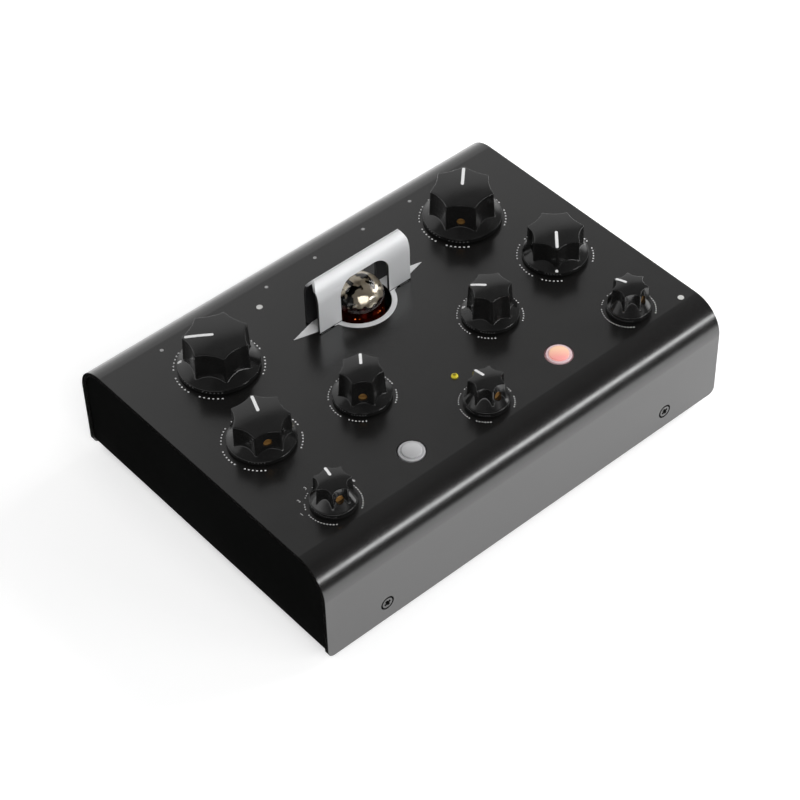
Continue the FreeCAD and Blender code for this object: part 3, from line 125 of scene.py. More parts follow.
class Shape:
    """A closed mesh in the making, in millimetres of the object's own frame."""

    def __init__(self) -> None:
        """Start with nothing in the mesh."""
        self.mesh = bmesh.new()

    def skin(self, rows: Sequence[Sequence[Point]], ends: bool = False, closed: bool = False) -> "Shape":
        """Join rings of points by faces.

        Args:
            rows: rings of equally many points; a ring of one point closes the skin to a tip.
            ends: whether the first and last ring get a face of their own.
            closed: whether the last ring joins the first.

        Returns:
            This shape.
        """
        made = [[self.mesh.verts.new(point) for point in row] for row in rows]
        pairs = list(zip(made, made[1:]))
        if closed:
            pairs.append((made[-1], made[0]))
        for low, high in pairs:
            count = max(len(low), len(high))
            for first in range(count):
                second = (first + 1) % count
                if len(low) == 1:
                    corners = (low[0], high[second], high[first])
                elif len(high) == 1:
                    corners = (low[first], low[second], high[0])
                else:
                    corners = (low[first], low[second], high[second], high[first])
                self.mesh.faces.new(corners)
        if ends:
            self.mesh.faces.new(made[0])
            self.mesh.faces.new(made[-1])
        return self

    def revolve(
        self, profile: Sequence[Flat], centre: Point, steps: int = 64, closed: bool = False,
    ) -> "Shape":
        """Turn a profile of (radius, height) pairs round an upright axis.

        Args:
            profile: the radius and height of each ring.
            centre: the foot of the axis.
            steps: how many points a ring has.
            closed: whether the last ring joins the first.

        Returns:
            This shape.
        """
        rows = []
        for radius, height in profile:
            turns = range(steps) if radius > ON_AXIS else range(1)
            rows.append([
                (
                    centre[0] + radius * math.cos(math.tau * turn / steps),
                    centre[1] + radius * math.sin(math.tau * turn / steps),
                    centre[2] + height,
                )
                for turn in turns
            ])
        return self.skin(rows, closed=closed)

    def prism(self, outline: Sequence[Flat], low: float, high: float) -> "Shape":
        """Raise an outline of (x, y) pairs from one level to another."""
        return self.skin([[(x, y, level) for x, y in outline] for level in (low, high)], ends=True)

    def moved(self, matrix: Matrix) -> "Shape":
        """Move every point of the shape by a matrix."""
        bmesh.ops.transform(self.mesh, matrix=matrix, verts=self.mesh.verts)
        return self

    def take_in(self, other: "Shape") -> None:
        """Add another shape's mesh to this one and use it up.

        Args:
            other: the shape that is added.
        """
        data = bpy.data.meshes.new("taken_in")
        other.mesh.to_mesh(data)
        other.mesh.free()
        self.mesh.from_mesh(data)
        bpy.data.meshes.remove(data)

    def cut(self, tools: Iterable["Shape"]) -> "Shape":
        """Take closed shapes away from this one.

        Args:
            tools: the shapes to take away.

        Returns:
            This shape.
        """
        blank = self.as_object("blank")
        for tool in tools:
            cutter = tool.as_object("cutter")
            modifier = blank.modifiers.new("cut", "BOOLEAN")
            modifier.operation = "DIFFERENCE"
            modifier.solver = "EXACT"
            modifier.object = cutter
        self.mesh = bmesh.new()
        self.mesh.from_mesh(evaluated_mesh(blank))
        bmesh.ops.scale(self.mesh, vec=(1 / MM,) * 3, verts=self.mesh.verts)
        bmesh.ops.remove_doubles(self.mesh, verts=self.mesh.verts, dist=SAME_SPOT)
        for modifier in blank.modifiers:
            bpy.data.objects.remove(modifier.object)
        bpy.data.objects.remove(blank)
        return self

    def as_object(self, name: str) -> bpy.types.Object:
        """Turn the shape into an object, in metres, with its sharp edges marked.

        Args:
            name: the object's name.

        Returns:
            The linked object.
        """
        bmesh.ops.recalc_face_normals(self.mesh, faces=self.mesh.faces)
        bmesh.ops.scale(self.mesh, vec=(MM,) * 3, verts=self.mesh.verts)
        for face in self.mesh.faces:
            face.smooth = True
        for edge in self.mesh.edges:
            edge.smooth = not edge.is_manifold or edge.calc_face_angle(0) < SHARP_ANGLE
        data = bpy.data.meshes.new(name)
        self.mesh.to_mesh(data)
        self.mesh.free()
        return linked(name, data)


def arc(centre: Flat, radius: float, start: float, end: float, steps: int) -> list[Flat]:
    """Give points along an arc.

    Args:
        centre: the arc's centre.
        radius: its radius.
        start: the angle of its first point, in degrees.
        end: the angle of its last point, in degrees.
        steps: how many steps it is divided into.

    Returns:
        One more point than there are steps.
    """
    angles = [math.radians(start + (end - start) * step / steps) for step in range(steps + 1)]
    return [
        (centre[0] + radius * math.cos(angle), centre[1] + radius * math.sin(angle)) for angle in angles
    ]


def circle(radius: float, count: int) -> list[Flat]:
    """Give points evenly round a circle."""
    return arc((0, 0), radius, 0, 360 - 360 / count, count - 1)


def bend(first: Flat, corner: Flat, last: Flat, steps: int) -> list[Flat]:
    """Give points along a curve that leaves one point towards a corner and ends at another point.

    Args:
        first: the point that it leaves.
        corner: the point that it heads for and rounds.
        last: the point that it ends at.
        steps: how many steps it is divided into.

    Returns:
        One more point than there are steps.
    """
    points = []
    for step in range(steps + 1):
        share = step / steps
        weights = ((1 - share) ** 2, 2 * share * (1 - share), share ** 2)
        points.append(tuple(
            sum(weight * place[axis] for weight, place in zip(weights, (first, corner, last)))
            for axis in (0, 1)
        ))
    return points


def tinted(colour: Colour, factor: float) -> Colour:
    """Give a colour made lighter or darker by a factor."""
    return tuple(min(1.0, channel * factor) for channel in colour)


class Graph:
    """The shader nodes of a material or of the world."""

    def __init__(self, tree: bpy.types.NodeTree) -> None:
        """Start with no nodes.

        Args:
            tree: the tree that takes the nodes.
        """
        self.tree = tree
        self.tree.nodes.clear()

    def feed(self, socket: Socket, term: Term) -> None:
        """Join an input to where its value comes from, or set it.

        Args:
            socket: the input.
            term: the socket that it is joined to, or its value.
        """
        if isinstance(term, Socket):
            self.tree.links.new(term, socket)
        elif socket.type == "RGBA":
            socket.default_value = (*term, 1.0)
        else:
            socket.default_value = term

    def node(self, kind: str, **terms: Term) -> bpy.types.Node:
        """Add a node and feed its inputs.

        Args:
            kind: the node's kind.
            terms: sockets or values, each under its input's name with underscores for spaces.

        Returns:
            The node.
        """
        node = self.tree.nodes.new(f"ShaderNode{kind}")
        for key, term in terms.items():
            self.feed(node.inputs[key.replace("_", " ")], term)
        return node

    def combined(self, operation: str, *terms: Term, kind: str = "Math") -> Socket:
        """Join values by one operation.

        Args:
            operation: the operation's name, such as ADD or MAXIMUM.
            terms: the sockets or values that it takes, in order.
            kind: Math for numbers, or VectorMath for the distance or dot product of two vectors.

        Returns:
            The result's socket.
        """
        node = self.node(kind)
        node.operation = operation
        for socket, term in zip(node.inputs, terms):
            self.feed(socket, term)
        return node.outputs["Value"]

    def axis(self, source: Socket, name: str) -> Socket:
        """Give the X, Y or Z of a vector."""
        return self.node("SeparateXYZ", Vector=source).outputs[name]

    def between(self, source: Socket, low: float, high: float) -> Socket:
        """Map a noise's middle range to a range of values.

        Args:
            source: the noise's socket.
            low: what its lower values become.
            high: what its higher values become.

        Returns:
            The result's socket.
        """
        node = self.node("MapRange", Value=source, From_Min=0.3, From_Max=0.7, To_Min=low, To_Max=high)
        return node.outputs["Result"]

    def colours(self, source: Socket, *stops: tuple[float, Colour]) -> Socket:
        """Map a value to colours.

        Args:
            source: the value.
            stops: places from 0 to 1, each with its colour.

        Returns:
            The colour's socket.
        """
        node = self.node("ValToRGB", Fac=source)
        elements = node.color_ramp.elements
        while len(elements) < len(stops):
            elements.new(0.5)
        for element, (position, colour) in zip(elements, stops):
            element.position = position
            element.color = (*colour, 1.0)
        return node.outputs["Color"]

    def shades(
        self, source: Socket, colour: Colour, start: float, end: float = 1.0, span: Flat = (0.3, 0.7),
    ) -> Socket:
        """Map a value to lighter and darker shades of one colour.

        Args:
            source: the value.
            colour: the colour.
            start: the colour's factor up to the span's start.
            end: the colour's factor from the span's end on.
            span: the values between which the shade changes.

        Returns:
            The colour's socket.
        """
        return self.colours(source, (span[0], tinted(colour, start)), (span[1], tinted(colour, end)))


class Surface(Graph):
    """The shader nodes of one material, round its one shader."""

    def __init__(self, name: str, **terms: Term) -> None:
        """Make the material and set what is the same all over it.

        Args:
            name: the material's name.
            terms: values for the shader's inputs, by name with underscores for spaces.
        """
        self.material = bpy.data.materials.new(name)
        self.material.use_nodes = True
        super().__init__(self.material.node_tree)
        self.shader = self.node("BsdfPrincipled", **terms)
        self.node("OutputMaterial", Surface=self.shader.outputs["BSDF"])
        self.place = self.node("TexCoord").outputs["Object"]

    def paint(self, **terms: Term) -> "Surface":
        """Feed more of the shader's inputs.

        Args:
            terms: sockets for the shader's inputs, by name with underscores for spaces.

        Returns:
            This surface.
        """
        for key, term in terms.items():
            self.feed(self.shader.inputs[key.replace("_", " ")], term)
        return self

    def stretched(self, scale: Point) -> Socket:
        """Give the object's coordinates scaled along each axis."""
        return self.node("Mapping", Vector=self.place, Scale=scale).outputs["Vector"]

    def clouds(self, size: float, detail: float = 3.0, stretch: Point = (1, 1, 1)) -> Socket:
        """Give soft noise.

        Args:
            size: the size of its spots, in millimetres.
            detail: how many finer layers it has.
            stretch: how much finer it is along each axis.

        Returns:
            The noise's value, round 0.5.
        """
        place = self.stretched(stretch)
        return self.node("TexNoise", Scale=1 / (size * MM), Detail=detail, Vector=place).outputs["Fac"]

    def relief(self, *layers: tuple[Socket, float]) -> "Surface":
        """Raise the surface by bump layers, each with its height in millimetres.

        Args:
            layers: each layer's socket and its height.

        Returns:
            This surface.
        """
        below: dict[str, Socket] = {}
        for source, height in layers:
            bump = self.node("Bump", Strength=1.0, Distance=height * MM, Height=source, **below)
            below = {"Normal": bump.outputs["Normal"]}
        return self.paint(**below)


@dataclass(frozen=True)
class SatinPaint:
    """Baked paint on sheet metal, with a fine grain and slightly uneven gloss."""

    name: str
    colour: Colour
    roughness: Flat
    specular: float
    coat: float = 0.0
    grain: float = 0.5
    grain_height: float = 0.003
    mottle: float = 0.12
    mottle_size: float = 38.0
    gloss_drift: float = 9.0
    orange_peel: float = 4.5

    def material(self) -> bpy.types.Material:
        """Make the paint.

        Returns:
            The material.
        """
        graph = Surface(
            self.name, Specular_IOR_Level=self.specular,
            Coat_Weight=self.coat, Coat_Roughness=self.roughness[0],
        )
        spots = graph.clouds(self.mottle_size, 2)
        graph.paint(
            Base_Color=graph.shades(spots, self.colour, 1 - self.mottle, 1 + self.mottle),
            Roughness=graph.between(graph.clouds(self.gloss_drift, 4), *self.roughness),
        )
        return graph.relief(
            (graph.clouds(self.grain, 2), self.grain_height),
            (graph.clouds(self.orange_peel, 2), self.grain_height * 1.5),
        ).material


@dataclass(frozen=True)
class MouldedPlastic:
    """Moulded plastic with a fine mould grain and faint handling marks."""

    name: str
    colour: Colour
    roughness: Flat
    specular: float = 0.5
    grain: float = 0.25
    grain_height: float = 0.0015
    mark_size: float = 6.0

    def material(self) -> bpy.types.Material:
        """Make the plastic.

        Returns:
            The material.
        """
        graph = Surface(self.name, Specular_IOR_Level=self.specular)
        marks = graph.clouds(self.mark_size, 5)
        graph.paint(
            Base_Color=graph.shades(marks, self.colour, 0.85, 1.2, (0.35, 0.65)),
            Roughness=graph.between(marks, *self.roughness),
        )
        return graph.relief((graph.clouds(self.grain, 1), self.grain_height)).material


@dataclass(frozen=True)
class Metal:
    """Bare or plated metal, evenly blasted."""

    name: str
    colour: Colour
    roughness: Flat
    grain: float = 0.4
    grain_height: float = 0.0008
    metallic: float = 1.0
    tarnish_size: float = 12.0

    def dressed(self) -> Surface:
        """Make the metal's shader nodes.

        Returns:
            The surface, open to further nodes.
        """
        graph = Surface(self.name, Metallic=self.metallic)
        grain = graph.clouds(self.grain, 3)
        tarnish = graph.clouds(self.tarnish_size, 4)
        graph.paint(
            Base_Color=graph.shades(tarnish, self.colour, 0.93, 1.05),
            Roughness=graph.between(grain, *self.roughness),
        )
        return graph.relief((grain, self.grain_height))

    def material(self) -> bpy.types.Material:
        """Make the metal."""
        return self.dressed().material


@dataclass(frozen=True)
class FoldedMetalPaintedShade(Metal):
    """A folded sheet, polished on its outer face, with painted shade on its cut edges and inside, and
    painted light where its faces look up.
    """

    middle: float = 0.0
    # The painted shade of the inside and the cut edges.
    inside: Colour = (0.03, 0.03, 0.032)
    drift: float = 0.2

    def material(self) -> bpy.types.Material:
        """Make the metal: faces that look away from the fold's middle and up get its colour, and the cut
        edges and inner faces get painted shade.

        Returns:
            The material.
        """
        graph = self.dressed()
        normal = graph.node("NewGeometry").outputs["Normal"]
        off_middle = graph.combined("SUBTRACT", graph.axis(graph.place, "Y"), self.middle * MM)
        outward = graph.combined("MULTIPLY", graph.combined("SIGN", off_middle), graph.axis(normal, "Y"))
        # Painted light and shade: faces that look up are lighter, cut edges and inner faces darker.
        outer = graph.combined("ADD", outward, graph.combined("MAXIMUM", graph.axis(normal, "Z"), 0.0))
        cloud = graph.combined("MULTIPLY", graph.clouds(self.tarnish_size, 4), self.drift)
        shade = graph.colours(
            graph.combined("ADD", outer, cloud),
            (0.15, self.inside), (0.7, tinted(self.colour, 0.92)), (1.0, self.colour),
        )
        return graph.paint(Base_Color=shade).material


@dataclass(frozen=True)
class Laminate:
    """Green-black circuit board with the faint pattern of its tracks."""

    name: str = "board_laminate"
    colour: Colour = (0.006, 0.014, 0.01)
    track_pitch: float = 5.0

    def material(self) -> bpy.types.Material:
        """Make the board's lacquered face.

        Returns:
            The material.
        """
        graph = Surface(self.name, Roughness=0.35)
        cells = graph.node("TexVoronoi", Vector=graph.place, Scale=1 / (self.track_pitch * MM))
        cells.distance = "MANHATTAN"
        track = cells.outputs["Distance"]
        graph.paint(Base_Color=graph.shades(track, self.colour, 1.6, span=(0.35, 0.4)))
        return graph.relief((track, 0.02)).material


@dataclass(frozen=True)
class Translucent:
    """A milky cap or lens that glows through, with a painted shade of another tint towards its front
    left; on a lit cap that tint is also the uneven glow of the lamp under it.
    """

    name: str
    colour: Colour
    glow: Colour
    strength: float
    roughness: Flat = (0.25, 0.35)
    # The painted shade's tint towards the front left, and the direction across the cap along which it
    # runs.
    painted_front_shade: Colour = (0.95, 0.95, 0.95)
    slant: Point = (0.45, 0.54, 0.0)

    def material(self) -> bpy.types.Material:
        """Make the milky plastic.

        Returns:
            The material.
        """
        graph = Surface(
            self.name, Emission_Strength=self.strength, Subsurface_Weight=0.2, Subsurface_Scale=0.001,
            Subsurface_Radius=self.colour,
        )
        cloud = graph.clouds(2.5, 3)
        across = graph.node("TexCoord").outputs["Generated"]
        depth = graph.combined("DOT_PRODUCT", across, self.slant, kind="VectorMath")
        shade = graph.combined("ADD", depth, graph.combined("MULTIPLY", cloud, 0.1))
        graph.paint(
            Base_Color=graph.colours(shade, (0.3, self.with_front_shade(self.colour)), (0.7, self.colour)),
            Emission_Color=graph.colours(shade, (0.3, self.with_front_shade(self.glow)), (0.7, self.glow)),
            Roughness=graph.between(cloud, *self.roughness),
        )
        return graph.relief((graph.clouds(0.4, 2), 0.001)).material

    def with_front_shade(self, colour: Colour) -> Colour:
        """Give a colour with the painted shade of the front left."""
        return tuple(channel * tint for channel, tint in zip(colour, self.painted_front_shade))


@dataclass(frozen=True)
class RingedLens:
    """A small clear-coloured lens: a bright ring round a darker core, and a dark edge that is painted
    shade of the gap round it.
    """

    name: str
    node: str
    colour: Colour
    radius: float = 1.5

    def material(self) -> bpy.types.Material:
        """Make the lens, with its rings told by the distance from its middle.

        Returns:
            The material.
        """
        graph = Surface(self.name, Roughness=0.12, Emission_Strength=0.25)
        x, y = middle_mm(self.node)
        flat = graph.stretched((1, 1, 0))
        off_axis = graph.combined("DISTANCE", flat, (x * MM, y * MM, 0.0), kind="VectorMath")
        share = graph.combined("DIVIDE", off_axis, self.radius * MM)
        # The last two stops darken the edge: painted shade of the gap round the lens.
        rings = graph.colours(
            graph.combined("ADD", share, graph.combined("MULTIPLY", graph.clouds(0.8, 2), 0.06)),
            (0.42, tinted(self.colour, 0.3)), (0.62, self.colour), (0.92, self.colour),
            (0.99, tinted(self.colour, 0.4)), (1.0, tinted(self.colour, 0.2)),
        )
        graph.paint(Base_Color=rings, Emission_Color=rings)
        return graph.relief((graph.clouds(0.4, 1), 0.002)).material


@dataclass(frozen=True)
class ClearGlass:
    """Blown glass, faintly wavy."""

    name: str = "blown_glass"
    colour: Colour = (0.97, 0.96, 0.95)

    def material(self) -> bpy.types.Material:
        """Make the glass.

        Returns:
            The material.
        """
        graph = Surface(self.name, Transmission_Weight=1.0, IOR=1.47, Roughness=0.0)
        streaks = graph.clouds(14, 2, (1, 1, 0.4))
        graph.paint(Base_Color=graph.shades(streaks, self.colour, 0.97))
        return graph.relief((streaks, 0.05)).material


@dataclass(frozen=True)
class MirrorFilm:
    """The silvery film inside the bulb, browned in patches, and near black in patches that are partly
    stains and partly a painted reflection of the dark guard.
    """

    name: str = "getter_mirror"
    colour: Colour = (0.9, 0.81, 0.64)
    burn: Colour = (0.16, 0.11, 0.07)
    black_stain_and_reflection: Colour = (0.006, 0.005, 0.004)
    patch_size: float = 5.0

    def material(self) -> bpy.types.Material:
        """Make the film.

        Returns:
            The material.
        """
        graph = Surface(self.name, Metallic=0.35)
        patches = graph.clouds(self.patch_size, 2.0)
        graph.paint(
            # The near-black patches are stains and also a painted reflection of the guard.
            Base_Color=graph.colours(
                patches, (0.44, self.black_stain_and_reflection), (0.45, self.burn), (0.48, self.colour),
            ),
            Roughness=graph.between(graph.clouds(3, 2), 0.03, 0.08),
        )
        return graph.relief((graph.clouds(8, 1), 0.7)).material


@dataclass(frozen=True)
class PaintedShadeFilm:
    """A dark red-brown film on the glass below the mirror: a painted shade of the bulb's dark inside,
    with a painted glow of the heater in a few spots.
    """

    name: str = "painted_shade_film"
    colour: Colour = (0.018, 0.005, 0.004)
    glow: Colour = (0.5, 0.03, 0.01)

    def material(self) -> bpy.types.Material:
        """Make the film of painted shade and glow.

        Returns:
            The material.
        """
        graph = Surface(self.name, Transmission_Weight=0.1, Roughness=0.12, Emission_Strength=0.07)
        spots = graph.clouds(2.6, 1)
        graph.paint(
            Base_Color=graph.shades(graph.clouds(6, 2), self.colour, 0.6),
            # Painted glow of the heater in a few spots.
            Emission_Color=graph.colours(
                spots,
                (0.45, tinted(self.glow, 0.03)), (0.62, tinted(self.glow, 0.25)), (0.72, self.glow),
            ),
        )
        return graph.relief((graph.clouds(5, 1), 0.15)).material


@dataclass(frozen=True)
class Glow:
    """A painted glow: spots that glow though they are no lamp."""

    name: str
    colour: Colour
    strength: float
    unlit: Colour = (0.05, 0.02, 0.01)

    def material(self) -> bpy.types.Material:
        """Make the surface of painted glow.

        Returns:
            The material.
        """
        graph = Surface(self.name, Emission_Strength=self.strength, Base_Color=self.unlit, Roughness=0.6)
        return graph.paint(Emission_Color=graph.shades(graph.clouds(1.5, 2), self.colour, 0.6)).material


@dataclass(frozen=True)
class Ink:
    """Screen-printed ink, slightly broken by the grain of the paint under it."""

    name: str
    colour: Colour

    def material(self) -> bpy.types.Material:
        """Make the ink.

        Returns:
            The material.
        """
        graph = Surface(self.name, Specular_IOR_Level=0.3)
        grain = graph.clouds(0.35, 3)
        graph.paint(
            Base_Color=graph.shades(grain, self.colour, 0.8, span=(0.25, 0.45)),
            Roughness=graph.between(grain, 0.45, 0.6),
        )
        return graph.relief((grain, 0.002)).material


class Finish(Enum):
    """The finishes of the object, each made once and shared."""

    COVER = SatinPaint("baked_black_cover", (0.0095, 0.0092, 0.0089), (0.22, 0.27), 1.0, 0.6)
    TRAY = SatinPaint("baked_black_tray", (0.0065, 0.0067, 0.0065), (0.6, 0.7), 0.02)
    SCREW_PAINT = SatinPaint("blackened_screw", (0.0095, 0.0093, 0.009), (0.24, 0.3), 1.0, 0.6)
    KNOB = MouldedPlastic("moulded_black_knob", (0.008, 0.0079, 0.0078), (0.12, 0.16), 0.9)
    BLACK_PLASTIC = MouldedPlastic("moulded_black_body", (0.012, 0.012, 0.012), (0.35, 0.5))
    SOCKET = MouldedPlastic("moulded_cream_socket", (0.55, 0.5, 0.42), (0.4, 0.5))
    RUBBER = MouldedPlastic("soft_black_rubber", (0.014, 0.014, 0.014), (0.7, 0.85), 0.3, 0.3, 0.006)
    # The guard's metal has painted shade on its inside and cut edges, and painted light on faces that
    # look up.
    GUARD = FoldedMetalPaintedShade(
        "satin_aluminium_guard_painted_shade", (0.84, 0.85, 0.86), (0.42, 0.5), metallic=0.4, middle=TUBE_MIDDLE,
    )
    TRIM = Metal("satin_aluminium_trim", (0.95, 0.95, 0.96), (0.38, 0.46), metallic=0.25)
    ZINC = Metal("zinc_plate", (0.6, 0.61, 0.63), (0.25, 0.4))
    NICKEL = Metal("bare_nickel", (0.66, 0.62, 0.56), (0.2, 0.35))
    CHROME = Metal("chrome_plate", (0.72, 0.73, 0.75), (0.1, 0.2))
    POT_STEEL = Metal("pressed_steel", (0.5, 0.5, 0.5), (0.3, 0.45))
    ANODE = Metal("grey_anode", (0.09, 0.09, 0.095), (0.4, 0.55))
    BRASS = Metal("turned_brass", (0.45, 0.24, 0.07), (0.3, 0.45), metallic=0.6)
    MICA = MouldedPlastic("split_mica", (0.5, 0.45, 0.36), (0.25, 0.4))
    BOARD = Laminate()
    # The caps and rims take a painted shade towards the front left.
    TAP_CAP = Translucent(
        "unlit_cap", (0.62, 0.62, 0.63), (1.0, 1.0, 1.0), 0.0, (0.14, 0.2), (0.78, 0.78, 0.78),
    )
    TAP_RIM = Translucent("unlit_cap_rim", (0.54, 0.54, 0.55), (1.0, 1.0, 1.0), 0.0)
    BYPASS_CAP = Translucent(
        "lit_cap", (0.7, 0.49, 0.37), (1.0, 0.57, 0.33), 0.42, (0.14, 0.2), (0.97, 0.64, 0.86),
    )
    BYPASS_RIM = Translucent("lit_cap_rim", (0.7, 0.6, 0.63), (1.0, 0.5, 0.52), 0.16)
    LED = RingedLens("yellow_lens", "level_led", (0.72, 0.6, 0.04))
    # Near-black plastic for the pieces of painted shade in gaps and recesses.
    GAP = MouldedPlastic("painted_gap_shade", (0.0015, 0.0015, 0.0015), (0.85, 0.95), 0.05)
    LAMP = Translucent("white_lens", (0.72, 0.72, 0.7), (1.0, 1.0, 1.0), 0.0)
    GLASS = ClearGlass()
    MIRROR = MirrorFilm()
    SMOKE = PaintedShadeFilm()
    HEATER = Glow("painted_heater_glow", (1.0, 0.22, 0.05), 2.2)
    INK = Ink("white_ink", (0.92, 0.92, 0.92))
    DIM_INK = Ink("dim_ink", (0.42, 0.42, 0.42))

    @cache
    def material(self) -> bpy.types.Material:
        """Give the finish's material, made on its first use."""
        return self.value.material()


NODE_FINISHES = {
    "cover_paint": Finish.COVER,
    "tray_paint": Finish.TRAY,
    "painted_screw": Finish.SCREW_PAINT,
    "foot_rubber": Finish.RUBBER,
    "zinc_steel": Finish.ZINC,
    "guard_aluminium": Finish.GUARD,
    "trim_aluminium": Finish.TRIM,
    "tube_glass": Finish.GLASS,
    "pin_nickel": Finish.NICKEL,
    "anode_metal": Finish.ANODE,
    "mica": Finish.MICA,
    "socket_plastic": Finish.SOCKET,
    "circuit_board": Finish.BOARD,
    "black_plastic": Finish.BLACK_PLASTIC,
    "pot_steel": Finish.POT_STEEL,
    "knob_plastic": Finish.KNOB,
    "set_screw_brass": Finish.BRASS,
    "tap_cap": Finish.TAP_CAP,
    "bypass_cap": Finish.BYPASS_CAP,
    "led_yellow": Finish.LED,
    "lamp_white": Finish.LAMP,
    "jack_chrome": Finish.CHROME,
}


def dress_frame_nodes() -> None:
    """Give every node of the frame the finish that its slot names."""
    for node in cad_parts.values():
        for holder in node.material_slots:
            holder.material = NODE_FINISHES[holder.material.name.split(".")[0]].material()


def soften_edges(node: str, width: float, join_within: float = 0.002, flat_within: float = 0.5) -> None:
    """Round the sharp edges of a frame node by modifiers.

    Args:
        node: the node's name.
        width: the rounding's width, in millimetres.
        join_within: how near two points are joined, in millimetres.
        flat_within: up to which turn in degrees two faces count as one.
    """
    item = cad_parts[node]
    item.modifiers.new("joined_faces", "WELD").merge_threshold = join_within * MM
    flat = item.modifiers.new("whole_faces", "DECIMATE")
    flat.decimate_type = "DISSOLVE"
    flat.angle_limit = math.radians(flat_within)
    rounding = item.modifiers.new("rounded_edges", "BEVEL")
    rounding.width = width * MM
    rounding.segments = 2
    rounding.limit_method = "ANGLE"
    rounding.angle_limit = SHARP_ANGLE
    item.modifiers.new("even_shading", "WEIGHTED_NORMAL").keep_sharp = True


class Piece:
    """A finished mesh that rides on a body."""

    def __init__(self, name: str, body: str, finish: Finish, slot: str | None = None) -> None:
        """Name the piece and say what carries it.

        Args:
            name: the piece's name.
            body: the body that carries it.
            finish: its finish.
            slot: the record's material slot that the piece stands for; not used.
        """
        self.name = name
        self.body = body
        self.finish = finish
        self.slot = slot

    def make(self, shape: Shape, replaces: Sequence[str] = (), even: bool = True) -> bpy.types.Object:
        """Turn a shape into the piece.

        Args:
            shape: the piece's mesh.
            replaces: the frame's nodes that it stands for.
            even: whether its shading follows its larger faces.

        Returns:
            The piece's object.
        """
        item = shape.as_object(self.name)
        item.data.materials.append(self.finish.material())
        if even:
            item.modifiers.new("even_shading", "WEIGHTED_NORMAL").keep_sharp = True
        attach(item, self.body)
        if replaces:
            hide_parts(*replaces)
        log.info("%s: %d faces on %s", self.name, len(item.data.polygons), self.body)
        return item


def ribbon(
    shape: Shape, line: Sequence[Point], side: Sequence[Vector], width: float, depth: float,
) -> Shape:
    """Lay a thin strip with round ends along a line.

    Args:
        shape: the shape that takes the strip.
        line: the middle of the strip's upper face.
        side: the direction across the strip at each point of the line.
        width: the strip's width.
        depth: how far it reaches below the line.

    Returns:
        The shape.
    """
    tip_half = 0.02
    reached = [0.0]
    for first, last in zip(line, line[1:]):
        reached.append(reached[-1] + (Vector(last) - Vector(first)).length)
    rows = []
    for place, across, distance in zip(line, side, reached):
        inside = min(distance, reached[-1] - distance, width / 2)
        half = math.sqrt(max(0.0, (width / 2) ** 2 - (width / 2 - inside) ** 2)) + tip_half
        middle = Vector(place)
        lowered = middle - Vector((0, 0, depth))
        rows.append([
            tuple(lowered - across * half),
            tuple(middle - across * half),
            tuple(middle),
            tuple(middle + across * half),
            tuple(lowered + across * half),
        ])
    return shape.skin(rows, ends=True)


def eased(steps: int) -> list[float]:
    """Give shares from 0 to 1 that lie close together near both ends."""
    return [0.5 - 0.5 * math.cos(math.pi * step / steps) for step in range(steps + 1)]


@dataclass(frozen=True)
class KnobSizes:
    """One kind of knob, in millimetres from the panel and from its axis."""

    rim_top: float
    grip_base: float
    grip_base_height: float
    grip_top: float
    grip_height: float
    flute_depth: float
    screw_height: float
    bore_top: float
    pointer_start: float
    pointer_end: float
    pointer_width: float
    scale_radius: float
    dash_width: float


class KnobKind(Enum):
    """The four kinds of knob on the panel."""

    LARGE = KnobSizes(2.7, 13.8, 4.1, 13.2, 16.4, 0.87, 8.1, 12.0, 12.3, 0.9, 1.25, 17.85, 0.62)
    BROAD = KnobSizes(2.6, 11.75, 3.6, 11.55, 13.6, 1.0, 8.5, 10.5, 10.8, 1.6, 1.2, 15.49, 0.6)
    TALL = KnobSizes(2.6, 9.45, 3.55, 8.7, 15.3, 0.8, 7.4, 12.0, 7.9, 1.5, 1.1, 13.17, 0.56)
    SMALL = KnobSizes(3.3, 7.65, 4.9, 7.35, 12.5, 1.2, 7.6, 9.8, 6.6, 1.6, 1.05, 10.8, 0.46)


